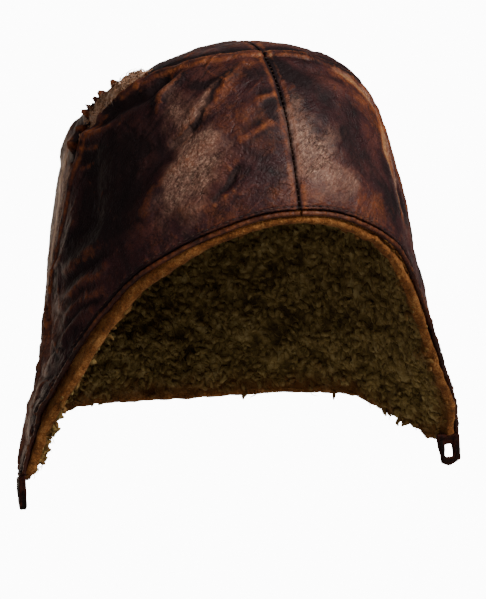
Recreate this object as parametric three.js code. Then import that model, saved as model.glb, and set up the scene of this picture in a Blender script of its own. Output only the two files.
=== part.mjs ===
// Leather football helmet with ear flaps and a sheepskin lining.
// Millimetres, +Z up. The face looks along -Y and the wearer's left is +X.
// The origin is where the crown of the head meets the lining.
import * as THREE from 'three';

// Driving sizes
const leather = 2;           // thickness of each panel
const fleece = 6.5;          // thickness of the sheepskin, leather and wool together
const liningGap = 1;         // between the leather and the sheepskin
const pieceGap = 0.55;       // between neighbours that are sewn together
const rollGap = 0.7;         // between a panel and the rolled edge below it
const bindingWidth = 2.4;    // height of the rolled edge
const bindingBulge = 0.5;    // how far the roll stands proud of the leather
const crownHeight = leather + liningGap + fleece;
const degree = Math.PI / 180;

// Sections of the leather's outer face: drop below the top of the crown, half width,
// depth ahead of the crown's axis and depth behind it
const sections = [
  { drop: 0, half: 0, ahead: 0, behind: 0 },
  { drop: 5, half: 33, ahead: 46, behind: 45 },
  { drop: 16, half: 59.5, ahead: 74, behind: 73 },
  { drop: 34, half: 77, ahead: 93, behind: 93 },
  { drop: 60, half: 85.5, ahead: 105, behind: 106 },
  { drop: 94, half: 92, ahead: 113, behind: 110 },
  { drop: 132, half: 98, ahead: 115, behind: 107 },
  { drop: 167, half: 105.5, ahead: 113, behind: 104 },
  { drop: 202, half: 115.5, ahead: 106, behind: 102 },
  { drop: 237, half: 122.5, ahead: 99, behind: 102 },
];

// Points on the leather are given by their turn, in degrees round from the brow, and their
// drop below the top of the crown
const rim = {
  right: [
    { turn: 0, drop: 103 }, { turn: 19, drop: 107.3 }, { turn: 30, drop: 113 },
    { turn: 41, drop: 121 }, { turn: 51.5, drop: 130.5 }, { turn: 62, drop: 146.5 },
    { turn: 71.5, drop: 165 }, { turn: 80, drop: 184.5 }, { turn: 87, drop: 202 },
    { turn: 92, drop: 221 },
  ],
  left: [
    { turn: 0, drop: 103 }, { turn: 19, drop: 107.3 }, { turn: 31, drop: 114 },
    { turn: 42, drop: 124 }, { turn: 52, drop: 140 }, { turn: 62, drop: 158 },
    { turn: 72, drop: 176 }, { turn: 82, drop: 194 }, { turn: 88, drop: 206 },
    { turn: 92, drop: 217 },
  ],
};
const flapBottom = {
  right: [
    { turn: 92, drop: 221 }, { turn: 96, drop: 223 }, { turn: 100, drop: 222.5 },
    { turn: 104, drop: 218.5 },
  ],
  left: [
    { turn: 92, drop: 217 }, { turn: 96, drop: 217.6 }, { turn: 100, drop: 216 },
    { turn: 104, drop: 212 },
  ],
};
const nape = {
  right: [
    { turn: 104, drop: 218.5 }, { turn: 109, drop: 210 }, { turn: 115, drop: 200 },
    { turn: 124, drop: 190 }, { turn: 140, drop: 185 }, { turn: 160, drop: 184 },
    { turn: 180, drop: 184 },
  ],
  left: [
    { turn: 104, drop: 212 }, { turn: 109, drop: 204 }, { turn: 115, drop: 196 },
    { turn: 124, drop: 188 }, { turn: 140, drop: 184.5 }, { turn: 160, drop: 184 },
    { turn: 180, drop: 184 },
  ],
};
const crownSeam = {
  right: [
    { turn: 0, drop: 15.5 }, { turn: 25, drop: 17.3 }, { turn: 47.5, drop: 21 },
    { turn: 61.5, drop: 27.5 }, { turn: 73, drop: 37 }, { turn: 80, drop: 50 },
    { turn: 84.5, drop: 68 }, { turn: 89, drop: 92 }, { turn: 94, drop: 120 },
    { turn: 99, drop: 162 }, { turn: 102, drop: 197 }, { turn: 104, drop: 218.5 },
  ],
  left: [
    { turn: 0, drop: 15.5 }, { turn: 26, drop: 17.6 }, { turn: 41, drop: 21 },
    { turn: 50, drop: 28 }, { turn: 55.5, drop: 40 }, { turn: 59, drop: 56 },
    { turn: 63, drop: 76 }, { turn: 69.5, drop: 100 }, { turn: 80, drop: 132 },
    { turn: 91.5, drop: 165 }, { turn: 99.5, drop: 194 }, { turn: 104, drop: 212 },
  ],
};

// Folds and hollows of the worn leather: from one point to another, how wide, and how far
// they stand out (plus) or sink in (minus). Turns are plus on the wearer's left.
const folds = [
  { turn: -92, drop: 9, toTurn: -116, toDrop: 24, width: 27, height: -9 },
  { turn: 91, drop: 210, toTurn: 97, toDrop: 250, width: 36, height: 8.5 },
  { turn: -72, drop: 37, toTurn: -44, toDrop: 29, width: 5, height: -3 },
  { turn: -88, drop: 44, toTurn: -66, toDrop: 45, width: 4.5, height: -2.2 },
  { turn: -80, drop: 52, toTurn: -68, toDrop: 48, width: 4, height: 1.5 },
  { turn: -74, drop: 62, toTurn: -71, toDrop: 100, width: 13, height: -3.5 },
  { turn: -35, drop: 26, toTurn: -44, toDrop: 46, width: 5, height: 2 },
  { turn: -20, drop: 33, toTurn: -38, toDrop: 63, width: 5, height: -2.2 },
  { turn: -17, drop: 31, toTurn: -31, toDrop: 57, width: 5, height: 1.4 },
  { turn: -22, drop: 62, toTurn: -40, toDrop: 81, width: 7, height: 3 },
  { turn: -40, drop: 81, toTurn: -50, toDrop: 100, width: 6, height: 1.6 },
  { turn: -22, drop: 73, toTurn: -33, toDrop: 83, width: 4.5, height: -2 },
  { turn: -19, drop: 88, toTurn: -37, toDrop: 99, width: 6, height: 1.6 },
  { turn: -61, drop: 105, toTurn: -83, toDrop: 119, width: 5, height: 1.8 },
  { turn: -63, drop: 114, toTurn: -84, toDrop: 129, width: 4.5, height: -1.8 },
  { turn: -66, drop: 124, toTurn: -82, toDrop: 136, width: 4.5, height: 1.6 },
  { turn: -64, drop: 138, toTurn: -77, toDrop: 157, width: 5, height: 1.4 },
  { turn: -92, drop: 142, toTurn: -90, toDrop: 164, width: 6, height: -2.2 },
  { turn: 10, drop: 26, toTurn: 36, toDrop: 29, width: 5, height: -1.4 },
  { turn: 14, drop: 35, toTurn: 44, toDrop: 44, width: 6, height: 1.2 },
  { turn: 48, drop: 62, toTurn: 56, toDrop: 102, width: 8, height: -1.6 },
  { turn: -150, drop: 92, toTurn: -118, toDrop: 122, width: 12, height: -2 },
  { turn: 128, drop: 82, toTurn: 150, toDrop: 120, width: 12, height: -1.8 },
  { turn: -132, drop: 152, toTurn: -168, toDrop: 158, width: 8, height: 1.5 },
  { turn: 116, drop: 152, toTurn: 158, toDrop: 162, width: 8, height: 1.4 },
];

// The tear in the right back panel: how far its edge is drawn back from the crown seam at each
// turn round that seam
const tear = [
  { turn: 52, back: 0 }, { turn: 58, back: 6 }, { turn: 66, back: 9 },
  { turn: 74, back: 11 }, { turn: 81, back: 8 }, { turn: 86, back: 0 },
];

// How far the sheepskin reaches below the rolled edge, by turn
const fleeceShow = [
  { turn: 0, reach: 3.5 }, { turn: 30, reach: 3.5 }, { turn: 55, reach: 5 },
  { turn: 75, reach: 6 }, { turn: 86, reach: 3 }, { turn: 91, reach: 0.3 },
  { turn: 99, reach: 0.3 }, { turn: 106, reach: 2.5 }, { turn: 125, reach: 2 },
  { turn: 180, reach: 1.5 },
];

// The folded loop below each flap's tip: its outline, its slot, and where it hangs. Its top
// corner is inset from the leather's outer face, and it faces that many degrees round from -Y.
const strapLoop = {
  width: 13, height: 15, thickness: 4, taper: 2, cornerDrop: 3.5, outerLeg: 4.2,
  slotTop: 2.6, slotWidth: 4.8, slotHeight: 7.4, slotCorner: 1.2,
};
const loopPlace = {
  right: { turn: 98, drop: 224.4, inset: -0.6, facing: 82 },
  left: { turn: 93, drop: 219.4, inset: -0.4, facing: -8 },
};

// The raised, turned-in edge of the front panels along the crown seam, and the dip of the
// seam down the brow
const seamLip = { rise: 1.2, width: 5 };
const browDip = { depth: 0.9, width: 5 };

// The rolled edge's section, by distance below the rim: depth of its outer and inner faces
const rollSection = [
  { down: -bindingWidth, outer: 0.1, inner: leather },
  { down: -bindingWidth / 2, outer: -bindingBulge, inner: leather },
  { down: 0, outer: 0.5, inner: leather - 0.2 },
];

const signOf = { right: -1, left: 1 };
const tornSide = 'right';
const edgeThinning = 0.35;   // how much thinner the sheepskin is at its edge
const woolSpread = 9;        // how much wider a fold's hollow is in the sheepskin
const broadFold = 20;        // folds from this width on shape the sheepskin too
const rollEndGap = { face: 0.003, bottom: 0.03 };   // shares of the length left bare at a tip

// How the curves of the disk are worked out: points on each, the power that keeps a pull at
// their ends, the straight stretch beside a corner, and how much denser steps are at the ends
const trackSteps = 120;
const endHold = 8;
const cornerEase = 0.5;
const endDensity = 0.06;
const slopeStep = 0.01;

// How finely each piece is divided
const cells = {
  panelAlong: 30, panelAcross: 15, backAlong: 27, backAcross: 13, liningRings: 13,
  faceRoll: 32, bottomRoll: 4, backRoll: 18,
};
const liningTurns = [
  { from: 0, to: 62, count: 9 },
  { from: 62, to: 92, count: 8 },
  { from: 92, to: 104, count: 3 },
  { from: 104, to: 180, count: 10 },
];

const colours = {
  leather: 0x3f2520, binding: 0x5a2f1c, wool: 0x8a6a3c, strap: 0x3a1a14,
};
const roughness = { leather: 0.55, binding: 0.5, wool: 0.95 };

// A table's column at any place between its rows, on a smooth curve through them. At the first
// row the curve is mirrored, evenly or oddly, and past the last it runs straight on.
function smoothColumn(rows, column, place, even) {
  const last = rows.length - 1;
  const value = (index) => {
    if (index < 0) return (even ? 1 : -1) * rows[-index][column];
    if (index > last) return 2 * rows[last][column] - rows[2 * last - index][column];
    return rows[index][column];
  };
  const start = Math.min(Math.floor(place), last - 1);
  const f = place - start;
  const [a, b, c, d] = [-1, 0, 1, 2].map((step) => value(start + step));
  return 0.5 * (2 * b + (c - a) * f + (2 * a - 5 * b + 4 * c - d) * f * f
    + (3 * b - a - 3 * c + d) * f * f * f);
}

// A table's column by straight steps between its rows, held at both ends
function straightColumn(rows, key, at, name) {
  if (at <= rows[0][key]) return rows[0][name];
  for (let i = 1; i < rows.length; i += 1) {
    if (at <= rows[i][key]) {
      const f = (at - rows[i - 1][key]) / (rows[i][key] - rows[i - 1][key]);
      return rows[i - 1][name] + f * (rows[i][name] - rows[i - 1][name]);
    }
  }
  return rows[rows.length - 1][name];
}

// The row, with its fraction, at which the sections reach a drop
function rowAtDrop(drop) {
  let low = 0;
  let high = sections.length - 1;
  for (let i = 0; i < 40; i += 1) {
    const middle = (low + high) / 2;
    if (smoothColumn(sections, 'drop', middle, true) < drop) low = middle;
    else high = middle;
  }
  return low;
}

// The crown is mapped on a disk. Its centre is the top of the crown, the distance from the
// centre is the section's row, and the brow is at -y.
function onDisk(turn, drop) {
  const row = rowAtDrop(drop);
  return new THREE.Vector2(row * Math.sin(turn * degree), -row * Math.cos(turn * degree));
}

// The leather's outer face, before folds, at a point of the disk
function smoothSkin(x, y) {
  const row = Math.hypot(x, y);
  const sine = row > 0 ? x / row : 0;
  const cosine = row > 0 ? -y / row : 1;
  const depth = smoothColumn(sections, cosine > 0 ? 'ahead' : 'behind', row, false);
  return new THREE.Vector3(
    smoothColumn(sections, 'half', row, false) * sine,
    -depth * cosine,
    crownHeight - smoothColumn(sections, 'drop', row, true),
  );
}

// The point and its outward normal, from small steps across the disk
function frameAt(point) {
  const { x, y } = point;
  const along = smoothSkin(x + slopeStep, y).sub(smoothSkin(x - slopeStep, y));
  const up = smoothSkin(x, y + slopeStep).sub(smoothSkin(x, y - slopeStep));
  along.divideScalar(2 * slopeStep);
  up.divideScalar(2 * slopeStep);
  const normal = new THREE.Vector3().crossVectors(along, up).normalize();
  return { place: smoothSkin(point.x, point.y), along, up, normal };
}

const foldLines = folds.map((fold) => {
  const from = onDisk(fold.turn, fold.drop);
  const to = onDisk(fold.toTurn, fold.toDrop);
  return {
    line: new THREE.Line3(smoothSkin(from.x, from.y), smoothSkin(to.x, to.y)),
    width: fold.width,
    height: fold.height,
  };
});

// Height of the folds at a place: each is a bell curve of the distance from its line. Only
// the wanted folds count, and a spread makes them wider.
function relief(place, wanted = () => true, spread = 0) {
  const nearest = new THREE.Vector3();
  return foldLines.filter(wanted).reduce((sum, { line, width, height }) => {
    line.closestPointToPoint(place, true, nearest);
    const distance = nearest.distanceTo(place) / (width + spread);
    return sum + height * Math.exp(-distance * distance);
  }, 0);
}

// A point of the folded skin at a depth below its outer face
function skin(point, depth) {
  const { place, normal } = frameAt(point);
  return place.clone().addScaledVector(normal, relief(place) - depth);
}

// A point of the disk moved in the skin by millimetres, to the right of its heading as seen
// from outside
function shifted(point, heading, millimetres) {
  const { along, up, normal } = frameAt(point);
  const ahead = along.clone().multiplyScalar(heading.x).addScaledVector(up, heading.y).normalize();
  const right = new THREE.Vector3().crossVectors(ahead, normal).multiplyScalar(millimetres);
  const aa = along.dot(along);
  const au = along.dot(up);
  const uu = up.dot(up);
  const ra = right.dot(along);
  const ru = right.dot(up);
  const det = aa * uu - au * au;
  return new THREE.Vector2(
    point.x + (ra * uu - ru * au) / det,
    point.y + (ru * aa - ra * au) / det,
  );
}

const mix = (a, b, f) => a.clone().multiplyScalar(1 - f).addScaledVector(b, f);
const steps = (count) => Array.from({ length: count + 1 }, (_, i) => i / count);

function lengthsAlong(points) {
  const lengths = [0];
  points.forEach((point, i) => {
    if (i > 0) lengths.push(lengths[i - 1] + point.distanceTo(points[i - 1]));
  });
  return lengths;
}

// A line of the disk that is walked by its length: f = 0 at its start and 1 at its end. A moved
// line is walked by the lengths of the line that it was made from.
function track(points, lengths = lengthsAlong(points)) {
  const last = points.length - 1;
  return {
    points,
    lengths,
    heading: (i) => points[Math.min(i + 1, last)].clone().sub(points[Math.max(i - 1, 0)]).normalize(),
    at: (f) => {
      const length = f * lengths[last];
      let i = 1;
      while (i < last && lengths[i] < length) i += 1;
      return mix(points[i - 1], points[i], (length - lengths[i - 1]) / (lengths[i] - lengths[i - 1]));
    },
  };
}

// A smooth track through a table's rows, on the left for a sign of 1 and on the right for -1.
// Where it meets the middle of the helmet it meets its mirror image without a corner.
function trackThrough(rows, sign) {
  const place = ({ turn, drop }) => {
    const point = onDisk(turn, drop);
    return new THREE.Vector3(sign * point.x, point.y, 0);
  };
  const points = rows.map(place);
  const last = rows.length - 1;
  const mirrored = (point) => new THREE.Vector3(-point.x, point.y, 0);
  const straightOn = (end, before) => end.clone().multiplyScalar(2).sub(before);
  const first = rows[0].turn === 0 ? mirrored(points[1]) : straightOn(points[0], points[1]);
  const beyond = rows[last].turn === 180 ? mirrored(points[last - 1])
    : straightOn(points[last], points[last - 1]);
  const curve = new THREE.CatmullRomCurve3([first, ...points, beyond], false, 'centripetal');
  return track(steps(trackSteps).map((f) => {
    const point = curve.getPoint((1 + f * last) / (last + 2));
    return new THREE.Vector2(point.x, point.y);
  }));
}

// A track moved sideways by millimetres, a number or a function of the point. At its ends it
// leans by half of the corner to the heading given there, so that moved tracks still meet, and
// it runs straight to that corner from as far back as the corner needs.
function movedTrack(line, millimetres, startHeading, endHeading) {
  const last = line.points.length - 1;
  const amount = (point) => (typeof millimetres === 'function' ? millimetres(point) : millimetres);
  const moved = line.points.map((point, i) => shifted(point, line.heading(i), amount(point)));
  const along = lengthsAlong(line.points.map((point) => smoothSkin(point.x, point.y)));
  const ends = [[0, startHeading, 1], [last, endHeading, -1]].filter(([, other]) => other);
  ends.forEach(([end, other, step]) => {
    const own = line.heading(end);
    const lean = own.clone().add(other).normalize();
    const distance = amount(line.points[end]);
    moved[end] = shifted(line.points[end], lean, distance / own.dot(lean));
    const trim = Math.abs(distance * own.cross(lean) / own.dot(lean));
    let clear = end + step;
    while (Math.abs(along[clear] - along[end]) < trim + cornerEase) clear += step;
    for (let i = end + step; i !== clear; i += step) {
      const f = (along[i] - along[end]) / (along[clear] - along[end]);
      moved[i] = mix(moved[end], moved[clear], f);
    }
  });
  return track(moved, line.lengths);
}

// The three stretches of one side's edge, moved away from the crown
function edgeTracks(side, millimetres) {
  const sign = signOf[side];
  const [face, bottom, back] = [rim, flapBottom, nape].map((table) => trackThrough(table[side], sign));
  const out = (point) => sign * (typeof millimetres === 'function' ? millimetres(point) : millimetres);
  const end = (line) => line.heading(line.points.length - 1);
  return {
    face: movedTrack(face, out, null, bottom.heading(0)),
    bottom: movedTrack(bottom, out, end(face), back.heading(0)),
    back: movedTrack(back, out, end(bottom), null),
  };
}

// The track with its ends pulled to new points, which bends only its last stretches
function pulled(line, start, end) {
  const startPull = start.clone().sub(line.at(0));
  const endPull = end.clone().sub(line.at(1));
  return (f) => line.at(f).addScaledVector(startPull, (1 - f) ** endHold)
    .addScaledVector(endPull, f ** endHold);
}

// A point of the disk half a seam's gap beside the helmet's middle
function besideMiddle(sign, y) {
  const row = Math.max(Math.abs(y), 0.01);
  const perMillimetre = row / smoothColumn(sections, 'half', row, false);
  return new THREE.Vector2(sign * (pieceGap / 2) * perMillimetre, y);
}

// Steps from 0 to 1 that are closer together near both ends
const closeAtEnds = (f) => f - endDensity * Math.sin(2 * Math.PI * f);

// A closed solid between two grids of points. Points that fall together are one vertex, so a
// grid may narrow to a point, and a closed one joins its last row to its first.
function solidBetween(outer, inner, closed) {
  const vertices = [];
  const found = new Map();
  const vertex = (point) => {
    const key = [point.x, point.y, point.z].map((value) => Math.round(value * 1e4)).join();
    if (!found.has(key)) {
      found.set(key, found.size);
      vertices.push(point.x, point.y, point.z);
    }
    return found.get(key);
  };
  const triangles = [];
  const triangle = (...corners) => {
    const ids = corners.map(vertex);
    if (new Set(ids).size === 3) triangles.push(ids);
  };
  const quad = (a, b, c, d) => {
    if (a.distanceTo(c) <= b.distanceTo(d)) {
      triangle(a, b, c);
      triangle(a, c, d);
    } else {
      triangle(a, b, d);
      triangle(b, c, d);
    }
  };
  const rows = outer.length;
  const last = outer[0].length - 1;
  for (let i = 0; i < (closed ? rows : rows - 1); i += 1) {
    const next = (i + 1) % rows;
    for (let j = 0; j < last; j += 1) {
      quad(outer[i][j], outer[next][j], outer[next][j + 1], outer[i][j + 1]);
      quad(inner[i][j + 1], inner[next][j + 1], inner[next][j], inner[i][j]);
    }
    quad(inner[i][0], inner[next][0], outer[next][0], outer[i][0]);
    quad(outer[i][last], outer[next][last], inner[next][last], inner[i][last]);
  }
  if (!closed) {
    for (let j = 0; j < last; j += 1) {
      quad(outer[0][j], outer[0][j + 1], inner[0][j + 1], inner[0][j]);
      quad(inner[rows - 1][j], inner[rows - 1][j + 1], outer[rows - 1][j + 1], outer[rows - 1][j]);
    }
  }
  const corner = (id) => new THREE.Vector3().fromArray(vertices, 3 * id);
  const volume = triangles.reduce((sum, [a, b, c]) => (
    sum + corner(a).dot(corner(b).cross(corner(c)))), 0);
  const geometry = new THREE.BufferGeometry();
  geometry.setAttribute('position', new THREE.Float32BufferAttribute(vertices, 3));
  geometry.setIndex(triangles.flatMap(([a, b, c]) => (volume > 0 ? [a, b, c] : [a, c, b])));
  geometry.computeVertexNormals();
  return geometry;
}

function piece(name, geometry, color, finish) {
  const material = new THREE.MeshStandardMaterial({ color, roughness: finish, metalness: 0 });
  const mesh = new THREE.Mesh(geometry, material);
  mesh.name = name;
  return mesh;
}

// A leather sheet over disk points, with a lip or a dip along its seams
function leatherSheet(points, lip) {
  const outer = points.map((line) => line.map((point) => skin(point, -lip(point, line[0]))));
  const inner = points.map((line) => line.map((point) => skin(point, leather)));
  return solidBetween(outer, inner, false);
}

const distance = (a, b) => smoothSkin(a.x, a.y).distanceTo(smoothSkin(b.x, b.y));
const bell = (value, width) => Math.exp(-((value / width) ** 2));

// Where the crown seam ends above the rolled edge, beside the given panel
function seamEnd(side, line, edge, toward) {
  const heading = line.heading(line.points.length - 1);
  return shifted(edge.bottom.at(1), heading, signOf[side] * toward * (pieceGap / 2));
}

// A front quarter: a patch of the disk between the crown seam and the face edge (u runs from
// the brow to the flap) and between the brow seam and the flap's bottom (v runs down)
function frontPanel(side) {
  const sign = signOf[side];
  const edge = edgeTracks(side, -(bindingWidth + rollGap));
  const middleSeam = trackThrough(crownSeam[side], sign);
  const seam = movedTrack(middleSeam, sign * (pieceGap / 2));
  const corner = {
    top: besideMiddle(sign, seam.at(0).y),
    brow: besideMiddle(sign, edge.face.at(0).y),
    heel: seamEnd(side, middleSeam, edge, 1),
    tip: edge.face.at(1),
  };
  const upper = pulled(seam, corner.top, corner.heel);
  const lower = pulled(edge.face, corner.brow, corner.tip);
  const flapEnd = pulled(edge.bottom, corner.tip, corner.heel);
  const across = steps(cells.panelAcross).map(closeAtEnds);
  const points = steps(cells.panelAlong).map((u) => across.map((v) => {
    const acrossSides = mix(upper(u), lower(u), v);
    const brow = besideMiddle(sign, corner.top.y + v * (corner.brow.y - corner.top.y));
    const alongSides = mix(brow, flapEnd(1 - v), u);
    const corners = mix(mix(corner.top, corner.heel, u), mix(corner.brow, corner.tip, u), v);
    return acrossSides.add(alongSides).sub(corners);
  }));
  const lip = (point, atSeam) => (
    seamLip.rise * bell(distance(point, atSeam), seamLip.width)
    - browDip.depth * bell(smoothSkin(point.x, point.y).x, browDip.width));
  return piece(`front_panel_${side}`, leatherSheet(points, lip), colours.leather, roughness.leather);
}

// A back quarter: a three-cornered patch between the crown seam and the middle of the back
// (s runs from the front of the crown down) and the nape (w runs from the seam to the middle)
function backPanel(side) {
  const sign = signOf[side];
  const edge = edgeTracks(side, -(bindingWidth + rollGap));
  const middleSeam = trackThrough(crownSeam[side], sign);
  const seam = movedTrack(middleSeam, -sign * (pieceGap / 2));
  const corner = {
    top: besideMiddle(sign, seam.at(0).y),
    heel: seamEnd(side, middleSeam, edge, -1),
    nape: besideMiddle(sign, edge.back.at(1).y),
  };
  const beside = pulled(seam, corner.top, corner.heel);
  const below = pulled(edge.back, corner.heel, corner.nape);
  const patch = (s, w) => {
    const middle = besideMiddle(sign, corner.top.y + s * (corner.nape.y - corner.top.y));
    const bend = below(w).sub(mix(corner.heel, corner.nape, w));
    return mix(beside(s), middle, w).addScaledVector(bend, s);
  };
  const points = steps(cells.backAlong).map((s) => {
    const start = patch(s, 0);
    const turn = Math.atan2(Math.abs(start.x), -start.y) / degree;
    const width = Math.max(distance(start, patch(s, 1)), 1);
    const torn = side === tornSide ? straightColumn(tear, 'turn', turn, 'back') / width : 0;
    return steps(cells.backAcross).map(closeAtEnds).map((w) => patch(s, torn + (1 - torn) * w));
  });
  return piece(`back_panel_${side}`, leatherSheet(points, () => 0), colours.leather, roughness.leather);
}

// The sheepskin follows the broad forms, and gives way below each sunken fold over a wider
// place than the leather
function woolRelief(place) {
  const broad = (fold) => fold.width >= broadFold;
  const narrowHollow = (fold) => !broad(fold) && fold.height < 0;
  return relief(place, broad) + relief(place, narrowHollow, woolSpread);
}

// The lining: rings from the top of the crown to its edge, which follows the rim at the
// distance given by its turn
function lining() {
  const turnOf = (point) => Math.atan2(point.x, -point.y) / degree;
  const reach = (point) => straightColumn(fleeceShow, 'turn', Math.abs(turnOf(point)), 'reach');
  const edgeRows = Object.fromEntries(['right', 'left'].map((side) => {
    const { face, bottom, back } = edgeTracks(side, reach);
    const rows = [...face.points, ...bottom.points, ...back.points]
      .map((point) => ({ turn: Math.abs(turnOf(point)), row: point.length() }))
      .sort((a, b) => a.turn - b.turn);
    return [side, rows];
  }));
  const halfTurns = liningTurns.flatMap(({ from, to, count }) => (
    steps(count).slice(0, count).map((f) => from + f * (to - from))));
  const turns = [...halfTurns, 180, ...halfTurns.slice(1).reverse().map((turn) => -turn)];
  const points = turns.map((turn) => {
    const rows = edgeRows[turn < 0 ? 'right' : 'left'];
    const edgeRow = straightColumn(rows, 'turn', Math.abs(turn), 'row');
    return steps(cells.liningRings).map((f) => new THREE.Vector2(
      f * edgeRow * Math.sin(turn * degree),
      -f * edgeRow * Math.cos(turn * degree),
    ));
  });
  const face = (thickness) => points.map((line) => line.map((point, ring) => {
    const { place, normal } = frameAt(point);
    const thinned = 1 - edgeThinning * bell(cells.liningRings - ring, 1);
    const depth = leather + liningGap + thickness * thinned;
    return place.clone().addScaledVector(normal, woolRelief(place) - depth);
  }));
  return piece('fleece_lining', solidBetween(face(0), face(fleece), true), colours.wool, roughness.wool);
}

// A rolled edge along stretches of the rim. Its section is three columns wide, and each
// column runs on a track of its own.
function rolledEdge(name, stretches) {
  const lines = rollSection.map(({ down }) => stretches.flatMap((stretch) => {
    const line = edgeTracks(stretch.side, down)[stretch.part];
    return steps(stretch.count).map((f) => line.at(stretch.from + f * (stretch.to - stretch.from)));
  }));
  const face = (key) => lines[0].map((_, i) => rollSection.map((column, j) => (
    skin(lines[j][i], column[key]))));
  return piece(name, solidBetween(face('outer'), face('inner'), false), colours.binding, roughness.binding);
}

// A folded strap as a flat loop: a five-sided outline with a slot of eight sides through it
function loopShape() {
  const { width, height, cornerDrop, taper, outerLeg } = strapLoop;
  const shape = new THREE.Shape([
    new THREE.Vector2(0, 0),
    new THREE.Vector2(-width, 0),
    new THREE.Vector2(-width + taper, cornerDrop / 2 - height),
    new THREE.Vector2(-width / 2, -height),
    new THREE.Vector2(0, cornerDrop - height),
  ]);
  const { slotTop, slotWidth, slotHeight, slotCorner } = strapLoop;
  const centre = new THREE.Vector2(-outerLeg - slotWidth / 2, -slotTop - slotHeight / 2);
  const corners = [[1, 1], [1, -1], [-1, -1], [-1, 1]].flatMap(([x, y]) => {
    const cuts = [
      new THREE.Vector2(x * (slotWidth / 2 - slotCorner), y * slotHeight / 2),
      new THREE.Vector2(x * slotWidth / 2, y * (slotHeight / 2 - slotCorner)),
    ];
    return (x * y > 0 ? cuts : cuts.reverse()).map((cut) => cut.add(centre));
  });
  shape.holes.push(new THREE.Path(corners));
  return shape;
}

// The loop hangs below a flap's tip
function strapPiece(side) {
  const { turn, drop, inset, facing } = loopPlace[side];
  const { thickness } = strapLoop;
  const geometry = new THREE.ExtrudeGeometry(loopShape(), { depth: thickness, bevelEnabled: false });
  geometry.rotateX(Math.PI / 2);
  const mesh = piece(`strap_loop_${side}`, geometry, colours.strap, roughness.binding);
  mesh.position.copy(skin(onDisk(signOf[side] * turn, drop), inset));
  mesh.rotation.z = facing * degree;
  return mesh;
}

const faceStretch = {
  part: 'face', from: rollEndGap.face, to: 1 - rollEndGap.face, count: cells.faceRoll,
};
const napeStretches = [
  { side: 'right', part: 'bottom', from: rollEndGap.bottom, to: 1, count: cells.bottomRoll },
  { side: 'right', part: 'back', from: 0, to: 1, count: cells.backRoll },
  { side: 'left', part: 'back', from: 1, to: 0, count: cells.backRoll },
  { side: 'left', part: 'bottom', from: 1, to: rollEndGap.bottom, count: cells.bottomRoll },
];

const helmet = new THREE.Group();
helmet.add(
  frontPanel('right'),
  frontPanel('left'),
  backPanel('right'),
  backPanel('left'),
  lining(),
  rolledEdge('face_binding_right', [{ side: 'right', ...faceStretch }]),
  rolledEdge('face_binding_left', [{ side: 'left', ...faceStretch }]),
  rolledEdge('nape_binding', napeStretches),
  strapPiece('right'),
  strapPiece('left'),
);

export default helmet;
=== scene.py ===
# Leather football helmet with ear flaps, a sheepskin lining and a strap loop at each flap's tip.
# Shapes are worked out in millimetres as whole arrays, and go into the meshes in metres.
# Places on the helmet are given by their turn, in degrees round from the brow (plus is the
# wearer's left), and their drop in millimetres below the top of the crown.
import math
import bmesh
import bpy
import numpy as np
from mathutils import Matrix, Vector


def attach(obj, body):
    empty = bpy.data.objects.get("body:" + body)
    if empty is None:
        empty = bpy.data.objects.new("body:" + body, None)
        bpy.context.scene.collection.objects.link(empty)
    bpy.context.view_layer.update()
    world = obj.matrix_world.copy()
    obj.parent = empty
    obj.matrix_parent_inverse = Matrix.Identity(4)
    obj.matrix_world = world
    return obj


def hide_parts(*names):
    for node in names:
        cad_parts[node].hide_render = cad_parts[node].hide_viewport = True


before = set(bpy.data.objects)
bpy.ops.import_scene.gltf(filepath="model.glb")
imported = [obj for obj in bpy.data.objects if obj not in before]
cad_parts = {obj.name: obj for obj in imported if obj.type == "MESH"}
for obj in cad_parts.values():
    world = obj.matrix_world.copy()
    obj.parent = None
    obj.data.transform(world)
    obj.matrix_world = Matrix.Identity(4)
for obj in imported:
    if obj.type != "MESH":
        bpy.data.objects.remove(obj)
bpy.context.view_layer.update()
millimetre = 0.001
imageSize = (486, 599)
signOf = {"right": -1, "left": 1}

# The helmet's form, as the solids have it
helmet = {
    "leather": 2.0, "fleece": 6.5, "liningGap": 1.0, "pieceGap": 0.55, "rollGap": 0.7,
    "rollWidth": 2.4, "seamRise": 1.3, "seamWidth": 5.5, "browDip": 0.9, "browDipWidth": 5,
}
helmet["crownHeight"] = helmet["leather"] + helmet["liningGap"] + helmet["fleece"]
sections = {
    "drop": [0, 5, 16, 34, 60, 94, 132, 167, 202, 237],
    "half": [0, 33, 59.5, 77, 85.5, 92, 98, 105.5, 115.5, 122.5],
    "ahead": [0, 46, 74, 93, 105, 113, 115, 113, 106, 99],
    "behind": [0, 45, 73, 93, 106, 110, 107, 104, 102, 102],
}
rim = {
    "right": [(0, 103), (19, 107.3), (30, 113), (41, 121), (51.5, 130.5), (62, 146.5),
              (71.5, 165), (80, 184.5), (87, 202), (92, 221)],
    "left": [(0, 103), (19, 107.3), (31, 114), (42, 124), (52, 140), (62, 158), (72, 176),
             (82, 194), (88, 206), (92, 217)],
}
flapBottom = {
    "right": [(92, 221), (96, 223), (100, 222.5), (104, 218.5)],
    "left": [(92, 217), (96, 217.6), (100, 216), (104, 212)],
}
nape = {
    "right": [(104, 218.5), (109, 210), (115, 200), (124, 190), (140, 185), (160, 184),
              (180, 184)],
    "left": [(104, 212), (109, 204), (115, 196), (124, 188), (140, 184.5), (160, 184),
             (180, 184)],
}
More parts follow.
